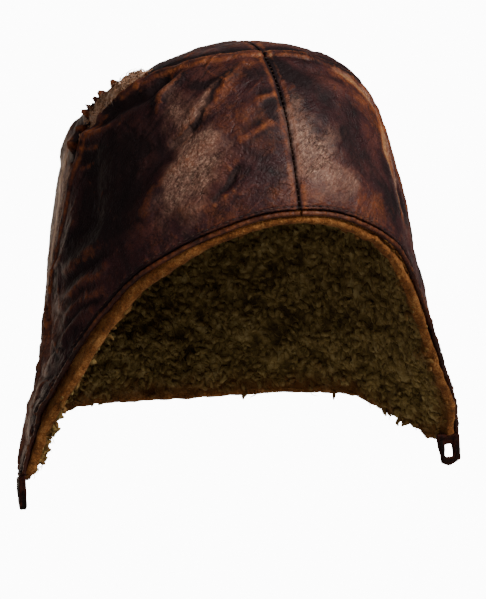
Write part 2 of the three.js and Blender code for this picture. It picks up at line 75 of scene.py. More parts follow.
crownSeam = {
    "right": [(0, 15.5), (25, 17.3), (47.5, 21), (61.5, 27.5), (73, 37), (80, 50), (84.5, 68),
              (89, 92), (94, 120), (99, 162), (102, 197), (104, 218.5)],
    "left": [(0, 15.5), (26, 17.6), (41, 21), (50, 28), (55.5, 40), (59, 56), (63, 76),
             (69.5, 100), (80, 132), (91.5, 165), (99.5, 194), (104, 212)],
}
fleeceShow = {
    "turn": [0, 30, 55, 75, 86, 91, 99, 106, 125, 180],
    "reach": [3.5, 3.5, 5, 6, 3, 0.3, 0.3, 2.5, 2, 1.5],
}
tear = {"turn": [52, 58, 66, 74, 81, 86], "back": [0, 6.5, 9, 7, 2.5, 0]}

# Dents, folds and creases: the kind of each, how wide it is, how far it stands out or sinks in,
# and the places it runs through. Broad ones shape the sheepskin too. A sharp one has a cusp for
# its section, the others a bell.
folds = [
    ("broad", 29, -10, (-84, 8), (-100, 13), (-118, 25)),
    ("broad", 36, 8.5, (91, 210), (97, 250)),
    ("soft", 13, 2.5, (-98, 34), (-104, 44), (-107, 56)),
    ("soft", 11, 1.6, (46, 12), (53, 18), (58, 28)),
    ("soft", 13, -1.0, (62, 44), (66, 60), (68, 78)),
    ("soft", 5.2, -4.2, (-73, 38.6), (-60.5, 36.1), (-50, 32.2), (-41, 26.8)),
    ("soft", 3.4, -2.6, (-88.5, 42.5), (-74, 43.5), (-65, 43)),
    ("soft", 3.2, 1.5, (-90.5, 48), (-74.5, 49), (-62, 46.6)),
    ("soft", 12, -3.8, (-72.5, 56), (-73, 66), (-71.5, 84), (-71, 102)),
    ("soft", 3, 1.3, (-79, 68), (-71, 63.6), (-64, 59)),
    ("soft", 3, 1.8, (-35, 25.3), (-39.5, 30.6), (-42.5, 36.8), (-44, 47)),
    ("sharp", 2.4, -2.3, (-20, 32.5), (-24.5, 40), (-28, 46.4), (-30, 52.5), (-35, 60),
     (-39, 64.5)),
    ("soft", 4.4, 1.6, (-16, 28), (-22.5, 36), (-27, 44), (-33, 56)),
    ("soft", 6, 2.6, (-22, 61), (-29.5, 69.4), (-36, 76), (-42, 82.3), (-46, 92), (-49.5, 99.6)),
    ("sharp", 2.6, -1.7, (-24, 71.4), (-30, 78.1), (-34, 82)),
    ("sharp", 2.4, -1.4, (-17.5, 76.5), (-21.5, 85.5), (-24.5, 89.3), (-27, 93.6)),
    ("soft", 4.5, 1.3, (-19.5, 88.7), (-29, 94.7), (-36.5, 99.1)),
    ("soft", 2.2, 0.7, (-1.5, 41), (-7.5, 43.7), (-10, 47)),
    ("soft", 2.4, 0.8, (-4.5, 55), (-11.5, 59), (-17, 65.5)),
    ("soft", 2.6, 0.8, (-8, 20.8), (-15.5, 29), (-21, 37.9)),
    ("soft", 4.2, 1.9, (-61, 104.2), (-68.5, 110), (-76, 114.7), (-84, 119)),
    ("sharp", 3.4, -1.9, (-63, 113), (-70, 118), (-77, 121), (-84, 127)),
    ("soft", 3.8, 1.7, (-59, 118.5), (-65.5, 124), (-72, 127), (-81.5, 135)),
    ("soft", 3, 1.3, (-59.5, 129), (-66.5, 133.5), (-73, 136.7), (-80, 144.1)),
    ("sharp", 2.6, -1.4, (-62, 134), (-70, 139), (-78, 148)),
    ("soft", 4, 1.5, (-64, 138.5), (-69.5, 142), (-73.5, 147.8), (-77, 158)),
    ("soft", 4, -2.4, (-92.5, 142), (-90.5, 153), (-89, 164)),
    ("soft", 3, 1.2, (-79.5, 107.7), (-84.5, 112.9), (-93.5, 118.2)),
    ("soft", 3.4, 1.2, (-78, 90.3), (-81.5, 102.5), (-86, 112.9)),
    ("sharp", 3.2, -1.2, (-74, 168), (-84, 172), (-96, 170)),
    ("soft", 3.6, 1.1, (-80, 186), (-88, 188), (-98, 184)),
    ("sharp", 2.8, -1.1, (-86, 200), (-93, 204), (-100, 202)),
    ("soft", 4.6, -1.7, (10, 26), (23, 27), (36, 29.5)),
    ("soft", 6, 1.2, (14, 35), (30, 38), (44, 44)),
    ("soft", 8, -1.6, (48, 62), (52, 82), (56, 102)),
    ("soft", 3, 0.9, (46, 40), (50, 56), (53, 78), (58, 98)),
    ("soft", 10, 1.0, (12, 46), (15, 62), (17, 84)),
    ("sharp", 3, -0.7, (30, 74), (38, 84), (44, 98)),
    ("soft", 4.5, -1.3, (62, 118), (70, 132), (80, 146)),
    ("soft", 4, 1.1, (60, 128), (68, 142), (78, 158)),
    ("sharp", 3, -1.1, (76, 168), (84, 176), (94, 178)),
    ("soft", 12, -2, (-150, 92), (-134, 108), (-118, 122)),
    ("soft", 12, -1.8, (128, 82), (140, 100), (150, 120)),
    ("soft", 8, 1.5, (-132, 152), (-150, 157), (-168, 158)),
    ("soft", 8, 1.4, (116, 152), (138, 160), (158, 162)),
    ("sharp", 3.4, -1.3, (-112, 140), (-120, 152), (-132, 162)),
    ("sharp", 3.4, -1.2, (108, 136), (118, 150), (128, 158)),
    ("sharp", 4, -1.1, (-172, 60), (-150, 66), (-128, 60)),
    ("sharp", 4, -1.1, (168, 120), (150, 130), (132, 128)),
    ("soft", 7, 1.2, (172, 48), (150, 56), (124, 52)),
]
foldDepth = 1.2       # how much the narrower ones are deepened
woolSpread = 9        # how much wider a fold's hollow is in the sheepskin


# The skin: from a place on the disk to a point in space
def smoothColumn(values, place, even):
    # Catmull-Rom curve through a table's values at whole places. It is mirrored at the first one,
    # evenly or oddly, and runs straight on past the last.
    values = np.asarray(values, float)
    last = len(values) - 1
    mirrored = values[1] if even else -values[1]
    row = np.concatenate([[mirrored], values, [2 * values[last] - values[last - 1]]])
    start = np.clip(np.floor(place), 0, last - 1).astype(int)
    f = place - start
    a, b, c, d = (row[start + k] for k in range(4))
    return 0.5 * (2 * b + (c - a) * f + (2 * a - 5 * b + 4 * c - d) * f**2
                  + (3 * b - a - 3 * c + d) * f**3)


fineRows = np.linspace(0, len(sections["drop"]) - 1, 4000)
fineDrops = smoothColumn(sections["drop"], fineRows, True)


def onDisk(turn, drop):
    # The crown is mapped on a disk: its centre is the crown's top, the distance from the centre
    # is the section's row, and the brow is at -y.
    row = np.interp(drop, fineDrops, fineRows)
    angle = np.radians(turn)
    return np.stack([row * np.sin(angle), -row * np.cos(angle)], -1)


def turnOf(point):
    # Degrees round from the brow, the same on both sides
    return np.degrees(np.arctan2(np.abs(point[..., 0]), -point[..., 1]))


def smoothSkin(point):
    # The leather's outer face without folds: an oval at each row, half wide, and ahead or behind
    # deep, at the row's drop
    x, y = point[..., 0], point[..., 1]
    row = np.hypot(x, y)
    safe = np.maximum(row, 1e-9)
    sine, cosine = x / safe, np.where(row > 0, -y / safe, 1)
    depth = np.where(cosine > 0, smoothColumn(sections["ahead"], row, False),
                     smoothColumn(sections["behind"], row, False))
    return np.stack([smoothColumn(sections["half"], row, False) * sine, -depth * cosine,
                     helmet["crownHeight"] - smoothColumn(sections["drop"], row, True)], -1)


def unit(vectors):
    # The vectors at a length of 1
    return vectors / np.maximum(np.linalg.norm(vectors, axis=-1, keepdims=True), 1e-12)


def skinFrame(point, step=0.01):
    # Place, the two slopes across the disk and the outward normal, from small steps
    alongStep, upStep = np.array([step, 0]), np.array([0, step])
    along = (smoothSkin(point + alongStep) - smoothSkin(point - alongStep)) / (2 * step)
    up = (smoothSkin(point + upStep) - smoothSkin(point - upStep)) / (2 * step)
    return smoothSkin(point), along, up, unit(np.cross(along, up))


def curveThrough(points, count):
    # Centripetal Catmull-Rom curve from the second point to the last but one: each stretch is a
    # cubic whose end slopes weigh its neighbours by the root of their distances
    place = 1 + np.linspace(0, 1, count + 1) * (len(points) - 3)
    i = np.minimum(place.astype(int), len(points) - 3)
    f = (place - i)[:, None]
    a, b, c, d = (points[i + k] for k in (-1, 0, 1, 2))
    ab, bc, cd = (np.sqrt(np.linalg.norm(q - p, axis=1))[:, None]
                  for p, q in ((a, b), (b, c), (c, d)))
    start = ((b - a) / ab - (c - a) / (ab + bc) + (c - b) / bc) * bc
    end = ((c - b) / bc - (d - b) / (bc + cd) + (d - c) / cd) * bc
    return (b + start * f + (3 * c - 3 * b - 2 * start - end) * f**2
            + (2 * b - 2 * c + start + end) * f**3)


def foldPath(places, count=14):
    # Points on the skin along a fold
    points = onDisk(*np.array(places, float).T)
    ends = 2 * points[[0, -1]] - points[[1, -2]]
    return smoothSkin(curveThrough(np.vstack([ends[:1], points, ends[1:]]), count))


def nearLine(places, path, reach):
    # Distance of each place from a line of points and how far along the line the nearest point
    # is, from 0 to 1. Places out of reach keep a large distance.
    shape = places.shape[:-1]
    flat = places.reshape(-1, 3)
    distance, along = np.full(len(flat), 1e6), np.zeros(len(flat))
    centre = path.mean(0)
    radius = np.linalg.norm(path - centre, axis=1).max() + reach
    near = np.flatnonzero(((flat - centre)**2).sum(1) < radius**2)
    p = flat[near]
    best, bestAlong = np.full(len(near), 1e6), np.zeros(len(near))
    segments = len(path) - 1
    for i in range(segments):
        start, run = path[i], path[i + 1] - path[i]
        t = np.clip((p - start) @ run / max(run @ run, 1e-12), 0, 1)
        d = np.linalg.norm(p - start - t[:, None] * run, axis=1)
        closer = d < best
        best = np.where(closer, d, best)
        bestAlong = np.where(closer, (i + t) / segments, bestAlong)
    distance[near], along[near] = best, bestAlong
    return distance.reshape(shape), along.reshape(shape)


def valueNoise(places, size, seed=0):
    # Smooth noise from -1 to 1: hashed values at the corners of cubes of that size, blended by
    # an s-curve across each cube
    turned = places @ noiseTurn.T / size + seed * 7.31
    cell = np.floor(turned).astype(np.int64)
    f = turned - cell
    f = f * f * f * (f * (f * 6 - 15) + 10)
    total = 0
    for corner in range(8):
        step = np.array([corner & 1, corner >> 1 & 1, corner >> 2 & 1])
        x, y, z = np.moveaxis(cell + step, -1, 0)
        key = (x * 73856093 ^ y * 19349663 ^ z * 83492791 ^ seed * 2654435761) & 0xffffffff
        key = (key ^ key >> 15) * 2246822519 & 0xffffffff
        key = (key ^ key >> 13) * 3266489917 & 0xffffffff
        value = (key >> 8 & 0xffff) / 32767.5 - 1
        total = total + value * np.prod(np.where(step, f, 1 - f), axis=-1)
    return total


noiseTurn = np.array(Matrix.Rotation(0.9, 3, Vector((0.5, 0.7, 0.4)).normalized()))


def cloudNoise(places, size, octaves=3, seed=0):
    # Noise with finer noise on it, each layer half the size and half the height
    return sum(valueNoise(places, size / 2**k, seed + k) / 2**k for k in range(octaves))


def ridgeNoise(places, size, seed=0):
    # A net of thin ridges, where smooth noise passes through zero: 1 on them, 0 away from them
    return np.maximum(0, 1 - 3.2 * np.abs(valueNoise(places, size, seed)))**2


foldPaths = [(kind, width, height, foldPath(places)) for kind, width, height, *places in folds]


def foldHeight(places, wanted=lambda fold: True, spread=0, wander=1.6):
    # Sum of the folds: each is its height times a bell or a cusp of the distance from its line,
    # fading towards both ends. The lines wander a little, as noise moves the places.
    moved = places + wander * np.stack([valueNoise(places, 13, 3 + k) for k in range(3)], -1)
    total = np.zeros(places.shape[:-1])
    for kind, width, height, path in filter(wanted, foldPaths):
        distance, along = nearLine(moved, path, 4 * (width + spread))
        share = distance / (width + spread)
        section = np.exp(-1.3 * share) if kind == "sharp" and not spread else np.exp(-share**2)
        fade = foldDepth * (1 - 0.75 * np.abs(2 * along - 1)**5)
        total += height * section * (1 if kind == "broad" else fade)
    return total


# Heights, sizes and seeds of the lumps and wrinkles, and the most creased place
lumpLayers = [(0.75, 34, 11), (0.28, 10, 21)]
wrinkleLayers = [(0.46, 15, 41), (-0.36, 9, 51), (-0.16, 5.5, 61)]
creased = {"turn": -92, "drop": 158, "reach": 42, "amount": 2.0, "size": 40, "seed": 31,
           "mean": 0.7, "swing": 0.9, "least": 0.1, "most": 1.3}


def skinRelief(places):
    # Folds, gentle lumps, and a net of fine wrinkles that comes and goes, and is deepest on the
    # right flap
    centre = smoothSkin(onDisk(creased["turn"], creased["drop"]))
    patch = np.clip(creased["mean"] + creased["swing"] * valueNoise(
        places, creased["size"], creased["seed"]), creased["least"], creased["most"])
    patch = patch + creased["amount"] * np.exp(
        -((places - centre)**2).sum(-1) / creased["reach"]**2)
    gentle = sum(height * cloudNoise(places, size, 2, seed) for height, size, seed in lumpLayers)
    fine = sum(height * ridgeNoise(places, size, seed) for height, size, seed in wrinkleLayers)
    return foldHeight(places) + gentle + patch * fine


def woolRelief(places):
    # The sheepskin follows the broad forms, and gives way under narrow hollows over a wider place
    return (foldHeight(places, lambda fold: fold[0] == "broad")
            + foldHeight(places, lambda fold: fold[0] != "broad" and fold[2] < 0, woolSpread))


# Lines on the disk
def headings(points):
    # The direction at each point of a row, from the one before it to the one after it
    ahead = np.vstack([points[1:], points[-1:]])
    back = np.vstack([points[:1], points[:-1]])
    return unit(ahead - back)


def lengthsAlong(points):
    # How far along a row of points each one is
    return np.concatenate([[0], np.cumsum(np.linalg.norm(np.diff(points, axis=0), axis=1))])


def makeTrack(points, lengths=None):
    # A row of points with the lengths by which it is walked
    return {"points": points, "lengths": lengthsAlong(points) if lengths is None else lengths}


def trackAt(track, f):
    # The point of a track at a share f of its length
    length = np.asarray(f) * track["lengths"][-1]
    return np.stack([np.interp(length, track["lengths"], track["points"][:, k])
                     for k in (0, 1)], -1)


def shifted(point, heading, amount):
    # A point of the disk moved in the skin by millimetres, to the right of its heading: the move
    # in space is split into the skin's two slopes
    place, along, up, normal = skinFrame(point)
    ahead = unit(along * heading[..., :1] + up * heading[..., 1:])
    right = np.cross(ahead, normal) * np.asarray(amount, float)[..., None]
    dot = lambda p, q: (p * q).sum(-1)
    aa, au, uu, ra, ru = (dot(along, along), dot(along, up), dot(up, up), dot(right, along),
                          dot(right, up))
    det = aa * uu - au * au
    return point + np.stack([(ra * uu - ru * au) / det, (ru * aa - ra * au) / det], -1)


def trackThrough(rows, sign, count=480):
    # A smooth track through a table's rows. Where it meets the helmet's middle it meets its
    # mirror image without a corner.
    points = onDisk(*np.array(rows, float).T) * [sign, 1]
    mirror = np.array([-1, 1])
    first = points[1] * mirror if rows[0][0] == 0 else 2 * points[0] - points[1]
    beyond = points[-2] * mirror if rows[-1][0] == 180 else 2 * points[-1] - points[-2]
    return makeTrack(curveThrough(np.vstack([first, points, beyond]), count))


def movedTrack(track, amount, startHeading=None, endHeading=None):
    # A track moved sideways. At an end it leans by half of the corner to the heading given
    # there, and it runs straight to that corner from as far back as the corner needs.
    points = track["points"]
    heading = headings(points)
    amount = np.broadcast_to(amount, len(points)).astype(float)
    moved = shifted(points, heading, amount)
    along = lengthsAlong(smoothSkin(points))
    for end, other in ((0, startHeading), (-1, endHeading)):
        if other is None:
            continue
        own = heading[end]
        lean = unit(own + other)
        cosine, sine = own @ lean, own[0] * lean[1] - own[1] * lean[0]
        corner = shifted(points[end], lean, amount[end] / cosine)
        away = np.abs(along - along[end])
        clear = abs(amount[end] * sine / cosine) + 0.5
        reached = moved[np.flatnonzero(away >= clear)[0 if end == 0 else -1]]
        f = np.clip(away / clear, 0, 1)[:, None]
        moved = np.where(f < 1, corner * (1 - f) + reached * f, moved)
    return makeTrack(moved, track["lengths"])


def edgeTracks(side, amount):
    # The three stretches of one side's edge, moved away from the crown by a number or by a
    # function of the disk's points
    sign = signOf[side]
    face, bottom, back = (trackThrough(rows[side], sign) for rows in (rim, flapBottom, nape))
    far = lambda track: sign * (amount(track["points"]) if callable(amount) else amount)
    first = lambda track: headings(track["points"])[0]
    last = lambda track: headings(track["points"])[-1]
    return {"face": movedTrack(face, far(face), None, first(bottom)),
            "bottom": movedTrack(bottom, far(bottom), last(face), first(back)),
            "back": movedTrack(back, far(back), last(bottom), None)}


def pulled(track, start, end, f):
    # The track at shares f, with its ends pulled to new points by a pull that fades fast
    f = f[:, None]
    return (trackAt(track, f[:, 0]) + (1 - f)**8 * (start - trackAt(track, 0))
            + f**8 * (end - trackAt(track, 1)))


def besideMiddle(sign, y):
    # Points of the disk half a seam's gap beside the helmet's middle
    row = np.maximum(np.abs(y), 0.01)
    wide = smoothColumn(sections["half"], row, False)
    return np.stack([sign * helmet["pieceGap"] / 2 * row / wide, y * np.ones_like(row)], -1)


def closeAtEnds(count, density=0.1):
    # Steps from 0 to 1 that are closer together near both ends
    f = np.linspace(0, 1, count + 1)
    return f - density * np.sin(2 * np.pi * f)


# Meshes
def makePiece(name, points, quads, triangles=np.zeros((0, 3), int), values=None):
    # Puts a closed shell into a smooth mesh at the origin, with its faces turned outwards. Values
    # are attributes for the materials.
    quads, triangles = outwards(points, quads, triangles)
    mesh = bpy.data.meshes.new(name)
    mesh.vertices.add(len(points))
    mesh.vertices.foreach_set("co", (points * millimetre).astype(np.float32).ravel())
    corners = np.concatenate([quads.ravel(), triangles.ravel()]).astype(np.int32)
    starts = np.concatenate([np.arange(len(quads)) * 4,
                             4 * len(quads) + np.arange(len(triangles)) * 3])
    mesh.loops.add(len(corners))
    mesh.loops.foreach_set("vertex_index", corners)
    mesh.polygons.add(len(starts))
    mesh.polygons.foreach_set("loop_start", starts.astype(np.int32))
    mesh.update(calc_edges=True)
    for key, array in (values or {}).items():
        attribute = mesh.attributes.new(key, "FLOAT", "POINT")
        attribute.data.foreach_set("value", array.astype(np.float32).ravel())
    mesh.validate()
    mesh.shade_smooth()
    piece = bpy.data.objects.new(name, mesh)
    bpy.context.scene.collection.objects.link(piece)
    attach(piece, "root")
    print(name, len(quads) * 2 + len(triangles), "triangles")
    return piece


def outwards(points, quads, triangles):
    # A closed shell's faces, turned round if the volume inside them comes out negative
    fans = [quads[:, :3], quads[:, [0, 2, 3]], triangles]
    a, b, c = (points[np.concatenate([fan[:, k] for fan in fans])] for k in range(3))
    flip = (a * np.cross(b, c)).sum() < 0
    return (quads[:, ::-1], triangles[:, ::-1]) if flip else (quads, triangles)


def gridQuads(index):
    # Quads between the neighbours of a grid of point numbers, or of a stack of such grids
    return np.stack([index[..., :-1, :-1], index[..., :-1, 1:], index[..., 1:, 1:],
                     index[..., 1:, :-1]], -1).reshape(-1, 4)


def closedGrid(rows, columns):
    # Point numbers of a grid whose last row is followed by its first
    index = np.arange(rows * columns).reshape(rows, columns)
    return np.vstack([index, index[:1]])


def shellFaces(rows, columns, share):
    # Faces round an outer grid and an inner one that has one column for every `share` of the
    # outer ones. The ends get fans of triangles.
    outer = np.arange(rows * (columns + 1)).reshape(rows, columns + 1)
    fewer = columns // share
    inner = outer.size + np.arange(rows * (fewer + 1)).reshape(rows, fewer + 1)
    quads = gridQuads(np.hstack([outer, inner[:, ::-1], outer[:, :1]]).T)
    j, m = np.arange(columns), np.arange(fewer)
    apex = j // share + (j % share >= share / 2)
    fans = []
    for row, turned in ((0, False), (-1, True)):
        o, n = outer[row], inner[row]
        fan = np.vstack([np.stack([o[j], o[j + 1], n[apex]], -1),
                         np.stack([o[m * share + share // 2], n[m + 1], n[m]], -1)])
        fans.append(fan[:, [1, 0, 2]] if turned else fan)
    return quads, np.vstack(fans)


def softBlur(values, radius):
    # Mean over a square of cells, from running sums along both directions
    for axis in (0, 1):
        pad = [(radius + 1, radius) if a == axis else (0, 0) for a in (0, 1)]
        sums = np.cumsum(np.pad(values, pad, mode="edge"), axis=axis)
        size = 2 * radius + 1
        high = np.take(sums, np.arange(size, sums.shape[axis]), axis)
        low = np.take(sums, np.arange(0, sums.shape[axis] - size), axis)
        values = (high - low) / size
    return values


def bell(values, width):
    # 1 in its middle and nearly 0 from twice its width on
    return np.exp(-(values / width)**2)


def roundOff(distance, radius):
    # How far an edge's rounding takes the surface down: a quarter of a circle of that radius
    inside = np.clip(1 - distance / radius, 0, 1)
    return radius * (1 - np.sqrt(1 - inside**2))


def strandsPiece(name, path, aside, upright, radius, angle, values=None):
    # Many tubes in one mesh: a ring round each point of each path, quads between the rings and a
    # fan of triangles at both ends
    count, rings, sides = *path.shape[:2], angle.shape[1]
    ring = path[:, :, None] + radius[..., None] * (
        aside[:, :, None] * np.cos(angle)[:, None, :, None]
        + upright[:, :, None] * np.sin(angle)[:, None, :, None])
    index = np.arange(count * rings * sides).reshape(count, rings, sides)
    ends = np.concatenate([index[:, 0, ::-1], index[:, -1]])
    triangles = np.vstack([ends[:, [0, k, k + 1]] for k in range(1, sides - 1)])
    quads = gridQuads(np.concatenate([index, index[..., :1]], -1))
    return makePiece(name, ring.reshape(-1, 3), quads, triangles, values)


def mergeDoubles(piece):
    # Points that fall together at a pole or a corner become one
    form = bmesh.new()
    form.from_mesh(piece.data)
    bmesh.ops.remove_doubles(form, verts=form.verts, dist=2e-6)
    bmesh.ops.dissolve_degenerate(form, edges=form.edges, dist=1e-7)
    form.to_mesh(piece.data)
    form.free()
    piece.data.update()
    return piece


# Leather panels. Their zones of colour are places by turn and drop, how far each spreads and how
# strong it is: rust is rubbed orange, dusk is stained nearly black and in dents is painted shade
# too, and scuff is worn pale and dull and is painted highlight too.
leatherSheet = {
    "frontAlong": 280, "frontAcross": 136, "backAlong": 224, "backAcross": 112, "share": 4,
    "turnedRadius": 1.7, "middleRadius": 0.85, "rawRadius": 0.9, "browSink": 0.5,
    "tornLift": 6.2, "backSink": 1.5, "bandAt": 6.4, "bandGroove": 0.35, "bandGrooveWidth": 1.1,
    "stitchLine": 1.7, "stitchGroove": 0.45, "stitchWidth": 0.6, "stitchSwell": 0.14,
    "stitchSwellWidth": 2.2, "pucker": 0.22, "puckerSize": 3.6, "leastEdge": 0.15,
    "crestBlur": 2, "crestHeight": 0.3, "basinBlur": 9, "basinDepth": 1.6, "mostWear": 1.3,
}
zones = {
    "rust": [(-9, 26, 12, 0.7), (-17, 33, 7, 0.5), (-18, 53, 12, 0.8), (-24, 41, 6, 0.4),
             (-8, 52, 9, 0.6), (-10, 64, 10, 0.5), (-33, 22, 11, 0.4), (5, 34, 8, 0.7),
             (-24, 100, 16, 0.6), (-4, 98, 16, 0.6), (9, 92, 11, 0.7), (24, 98, 14, 1.0),
             (34, 104, 14, 0.7), (-32, 84, 10, 0.4), (-45, 102, 16, 0.5), (-66, 124, 16, 0.4),
             (46, 52, 14, 0.8), (50, 74, 12, 0.7), (38, 40, 12, 0.6), (-86, 190, 22, 0.5),
             (-90, 150, 16, 0.4), (70, 140, 22, 0.5), (84, 190, 22, 0.6), (150, 80, 36, 0.6),
             (-160, 140, 36, 0.6), (100, 60, 26, 0.5), (-120, 60, 24, 0.4), (-10, 6, 24, 0.8),
             (20, 8, 16, 0.6), (110, 170, 24, 0.5), (-120, 180, 24, 0.4)],
    # The dusk zones are dark stains, and those in the dents on the wearer's right and just below
    # the crown seam are painted shade as well
    "dusk": [(4, 25, 9, 1.0), (10, 30, 9, 0.9), (16, 39, 9, 0.7), (20, 62, 8, 0.9),
             (25, 75, 9, 1.0), (36, 85, 10, 1.0), (29, 50, 8, 0.5), (42, 96, 8, 0.9),
             (-10, 29, 7, 1.0), (-6, 45, 6, 0.8), (-11, 56, 6, 0.8), (-13, 70, 9, 0.5),
             (-30, 32, 10, 0.5), (-46, 62, 14, 0.6), (-58, 60, 18, 0.8), (-66, 74, 20, 1.0),
             (-68, 96, 18, 1.0), (-60, 100, 12, 0.8), (-54, 88, 12, 0.7), (-76, 108, 16, 0.9),
             (-72, 145, 20, 0.5), (-78, 176, 18, 0.5), (56, 96, 12, 0.8), (62, 124, 14, 0.6),
             (-130, 70, 34, 0.7), (-170, 96, 26, 0.6), (120, 130, 30, 0.7), (176, 40, 26, 0.6),
             (96, 100, 20, 0.5), (-110, 150, 24, 0.5), (140, 172, 24, 0.5)],
    # The scuff zones are worn pale leather, and painted highlight as well
    "scuffAndHighlight": [(3, 60, 10, 0.8), (9, 70, 13, 1.0), (6, 84, 13, 1.0), (15, 89, 10, 0.6),
              (3, 48, 7, 0.5), (-31, 75, 13, 1.0), (-27, 68, 9, 0.8), (-36, 84, 10, 0.9),
              (-39, 42, 10, 0.7), (-34, 48, 8, 0.5), (-36, 99, 12, 0.4), (-91, 72, 10, 0.7),
              (-92, 96, 10, 0.6), (52, 44, 8, 0.5), (58, 70, 8, 0.5), (-96, 206, 9, 0.7),
              (-84, 140, 12, 0.7), (-90, 160, 12, 0.8), (-97, 182, 13, 0.9), (-104, 200, 10, 0.8),
              (-170, 150, 18, 0.5), (120, 90, 16, 0.5), (150, 30, 16, 0.4)],
    "bare": [],
}
raggedness = {"reach": 6, "size": 13, "octaves": 4, "seed": 60, "lineShare": 0.2}

# Lines of the same kinds: how wide and how strong each is, and the places it runs through. Bare
# leather shows its raw inside. The dusk lines are painted shade in creases, in a groove and beside
# the crown seam, and the scuff lines are worn pale leather and painted highlight.
wornLines = [
    ("dusk", 1.5, 1.7, (-20, 32.5), (-24.5, 40), (-28, 46.4), (-30, 52.5), (-35, 60),
     (-39, 64.5)),
    ("rust", 2.2, 1.3, (-7, 21), (-13, 28), (-18, 35), (-22.5, 42), (-26, 49)),
    ("scuffAndHighlight", 1.8, 0.8, (-20, 31), (-25.5, 38), (-29.5, 45), (-32, 51), (-37, 58)),
    ("dusk", 1.2, 1.4, (-24, 71.4), (-30, 78.1), (-34, 82)),
    ("dusk", 1.7, 1.4, (-17.5, 76.5), (-21.5, 85.5), (-24.5, 89.3), (-28, 95)),
    ("dusk", 2.6, 1.2, (-14, 27), (-20, 31.5), (-27, 34), (-34, 33)),
    ("bare", 3.3, 1.3, (28.5, 25), (38.5, 27.5), (43, 34), (47.5, 41), (49, 51), (48, 67),
     (50, 77), (49, 94), (48, 110)),
    ("bare", 6, 1.05, (-92, 44), (-94, 60), (-95, 80), (-96, 104), (-96, 130)),
    ("scuffAndHighlight", 2.2, 1.3, (30.5, 24.7), (41, 26.7), (45.5, 33.4), (50.5, 39.8), (52, 50.5),
     (50, 67), (53, 76), (51, 94), (49, 107)),
    ("rust", 4, 0.8, (36, 25), (45.5, 33.4), (51, 44), (52, 60), (54, 76)),
    ("dusk", 2.6, 1.0, (22, 21), (32, 21.5), (40.5, 23.5), (47, 28), (53, 36)),
    ("scuffAndHighlight", 3.2, 1.0, (-86, 60), (-90, 74), (-92, 92), (-94, 108)),
    ("scuffAndHighlight", 3.4, 1.2, (-90, 172), (-94, 190), (-96, 207)),
    ("rust", 1.6, 1.3, (-1.5, 41), (-7.5, 43.7), (-10, 47)),
    ("rust", 1.7, 1.4, (-4.5, 55), (-11.5, 59), (-17, 65.5)),
    ("rust", 2.2, 1.2, (-8, 20.8), (-15.5, 29), (-21, 37.9), (-26, 45), (-31, 55)),
    ("dusk", 5.5, 1.5, (-73, 38.6), (-60.5, 36.1), (-50, 32.2), (-41, 26.8)),
    ("rust", 2.0, 0.8, (-79, 52), (-71, 48), (-62, 46.6), (-54, 44)),
]


def zoneAt(places, kind):
    # Sum of one kind's bells round its places and beside its lines, with ragged outlines
    size, octaves, seed = (raggedness[key] for key in ("size", "octaves", "seed"))
    ragged = places + raggedness["reach"] * np.stack(
        [cloudNoise(places, size, octaves, seed + k) for k in range(3)], -1)
    total = np.zeros(places.shape[:-1])
    for turn, drop, reach, amount in zones[kind]:
        centre = smoothSkin(onDisk(turn, drop))
        total += amount * bell(np.linalg.norm(ragged - centre, axis=-1), reach)
    moved = (1 - raggedness["lineShare"]) * places + raggedness["lineShare"] * ragged
    for _, width, amount, *through in (line for line in wornLines if line[0] == kind):
        distance, along = nearLine(moved, foldPath(through), 4 * width)
        total += amount * (1 - (2 * along - 1)**6) * bell(distance, width)
    return np.clip(total, 0, 1)


def panelTracks(side):
    # The three stretches of the edge where the panels end above the roll, and the crown seam
    edge = edgeTracks(side, -(helmet["rollWidth"] + helmet["rollGap"]))
    return edge, trackThrough(crownSeam[side], signOf[side])


def seamEnd(side, seam, edge, toward):
    # Where the crown seam ends above the rolled edge, beside the given panel
    amount = signOf[side] * toward * helmet["pieceGap"] / 2
    return shifted(trackAt(edge["bottom"], 1), headings(seam["points"])[-1], amount)


def frontGrid(side):
    # A front quarter of the disk: the sum of the patches between its two long and its two short
    # sides, less the one between its corners
    sign = signOf[side]
    edge, middleSeam = panelTracks(side)
    seam = movedTrack(middleSeam, sign * helmet["pieceGap"] / 2)
    top = besideMiddle(sign, trackAt(seam, 0)[1])
    brow = besideMiddle(sign, trackAt(edge["face"], 0)[1])
    heel, tip = seamEnd(side, middleSeam, edge, 1), trackAt(edge["face"], 1)
    u, v = closeAtEnds(leatherSheet["frontAlong"], 0.08), closeAtEnds(leatherSheet["frontAcross"])
    upper, lower = pulled(seam, top, heel, u), pulled(edge["face"], brow, tip, u)
    flapEnd = pulled(edge["bottom"], tip, heel, 1 - v)
    browLine = besideMiddle(sign, top[1] + v * (brow[1] - top[1]))
    u, v = u[:, None, None], v[None, :, None]
    across = upper[:, None] * (1 - v) + lower[:, None] * v
    along = browLine[None] * (1 - u) + flapEnd[None] * u
    corners = (top * (1 - u) + heel * u) * (1 - v) + (brow * (1 - u) + tip * u) * v
    return across + along - corners


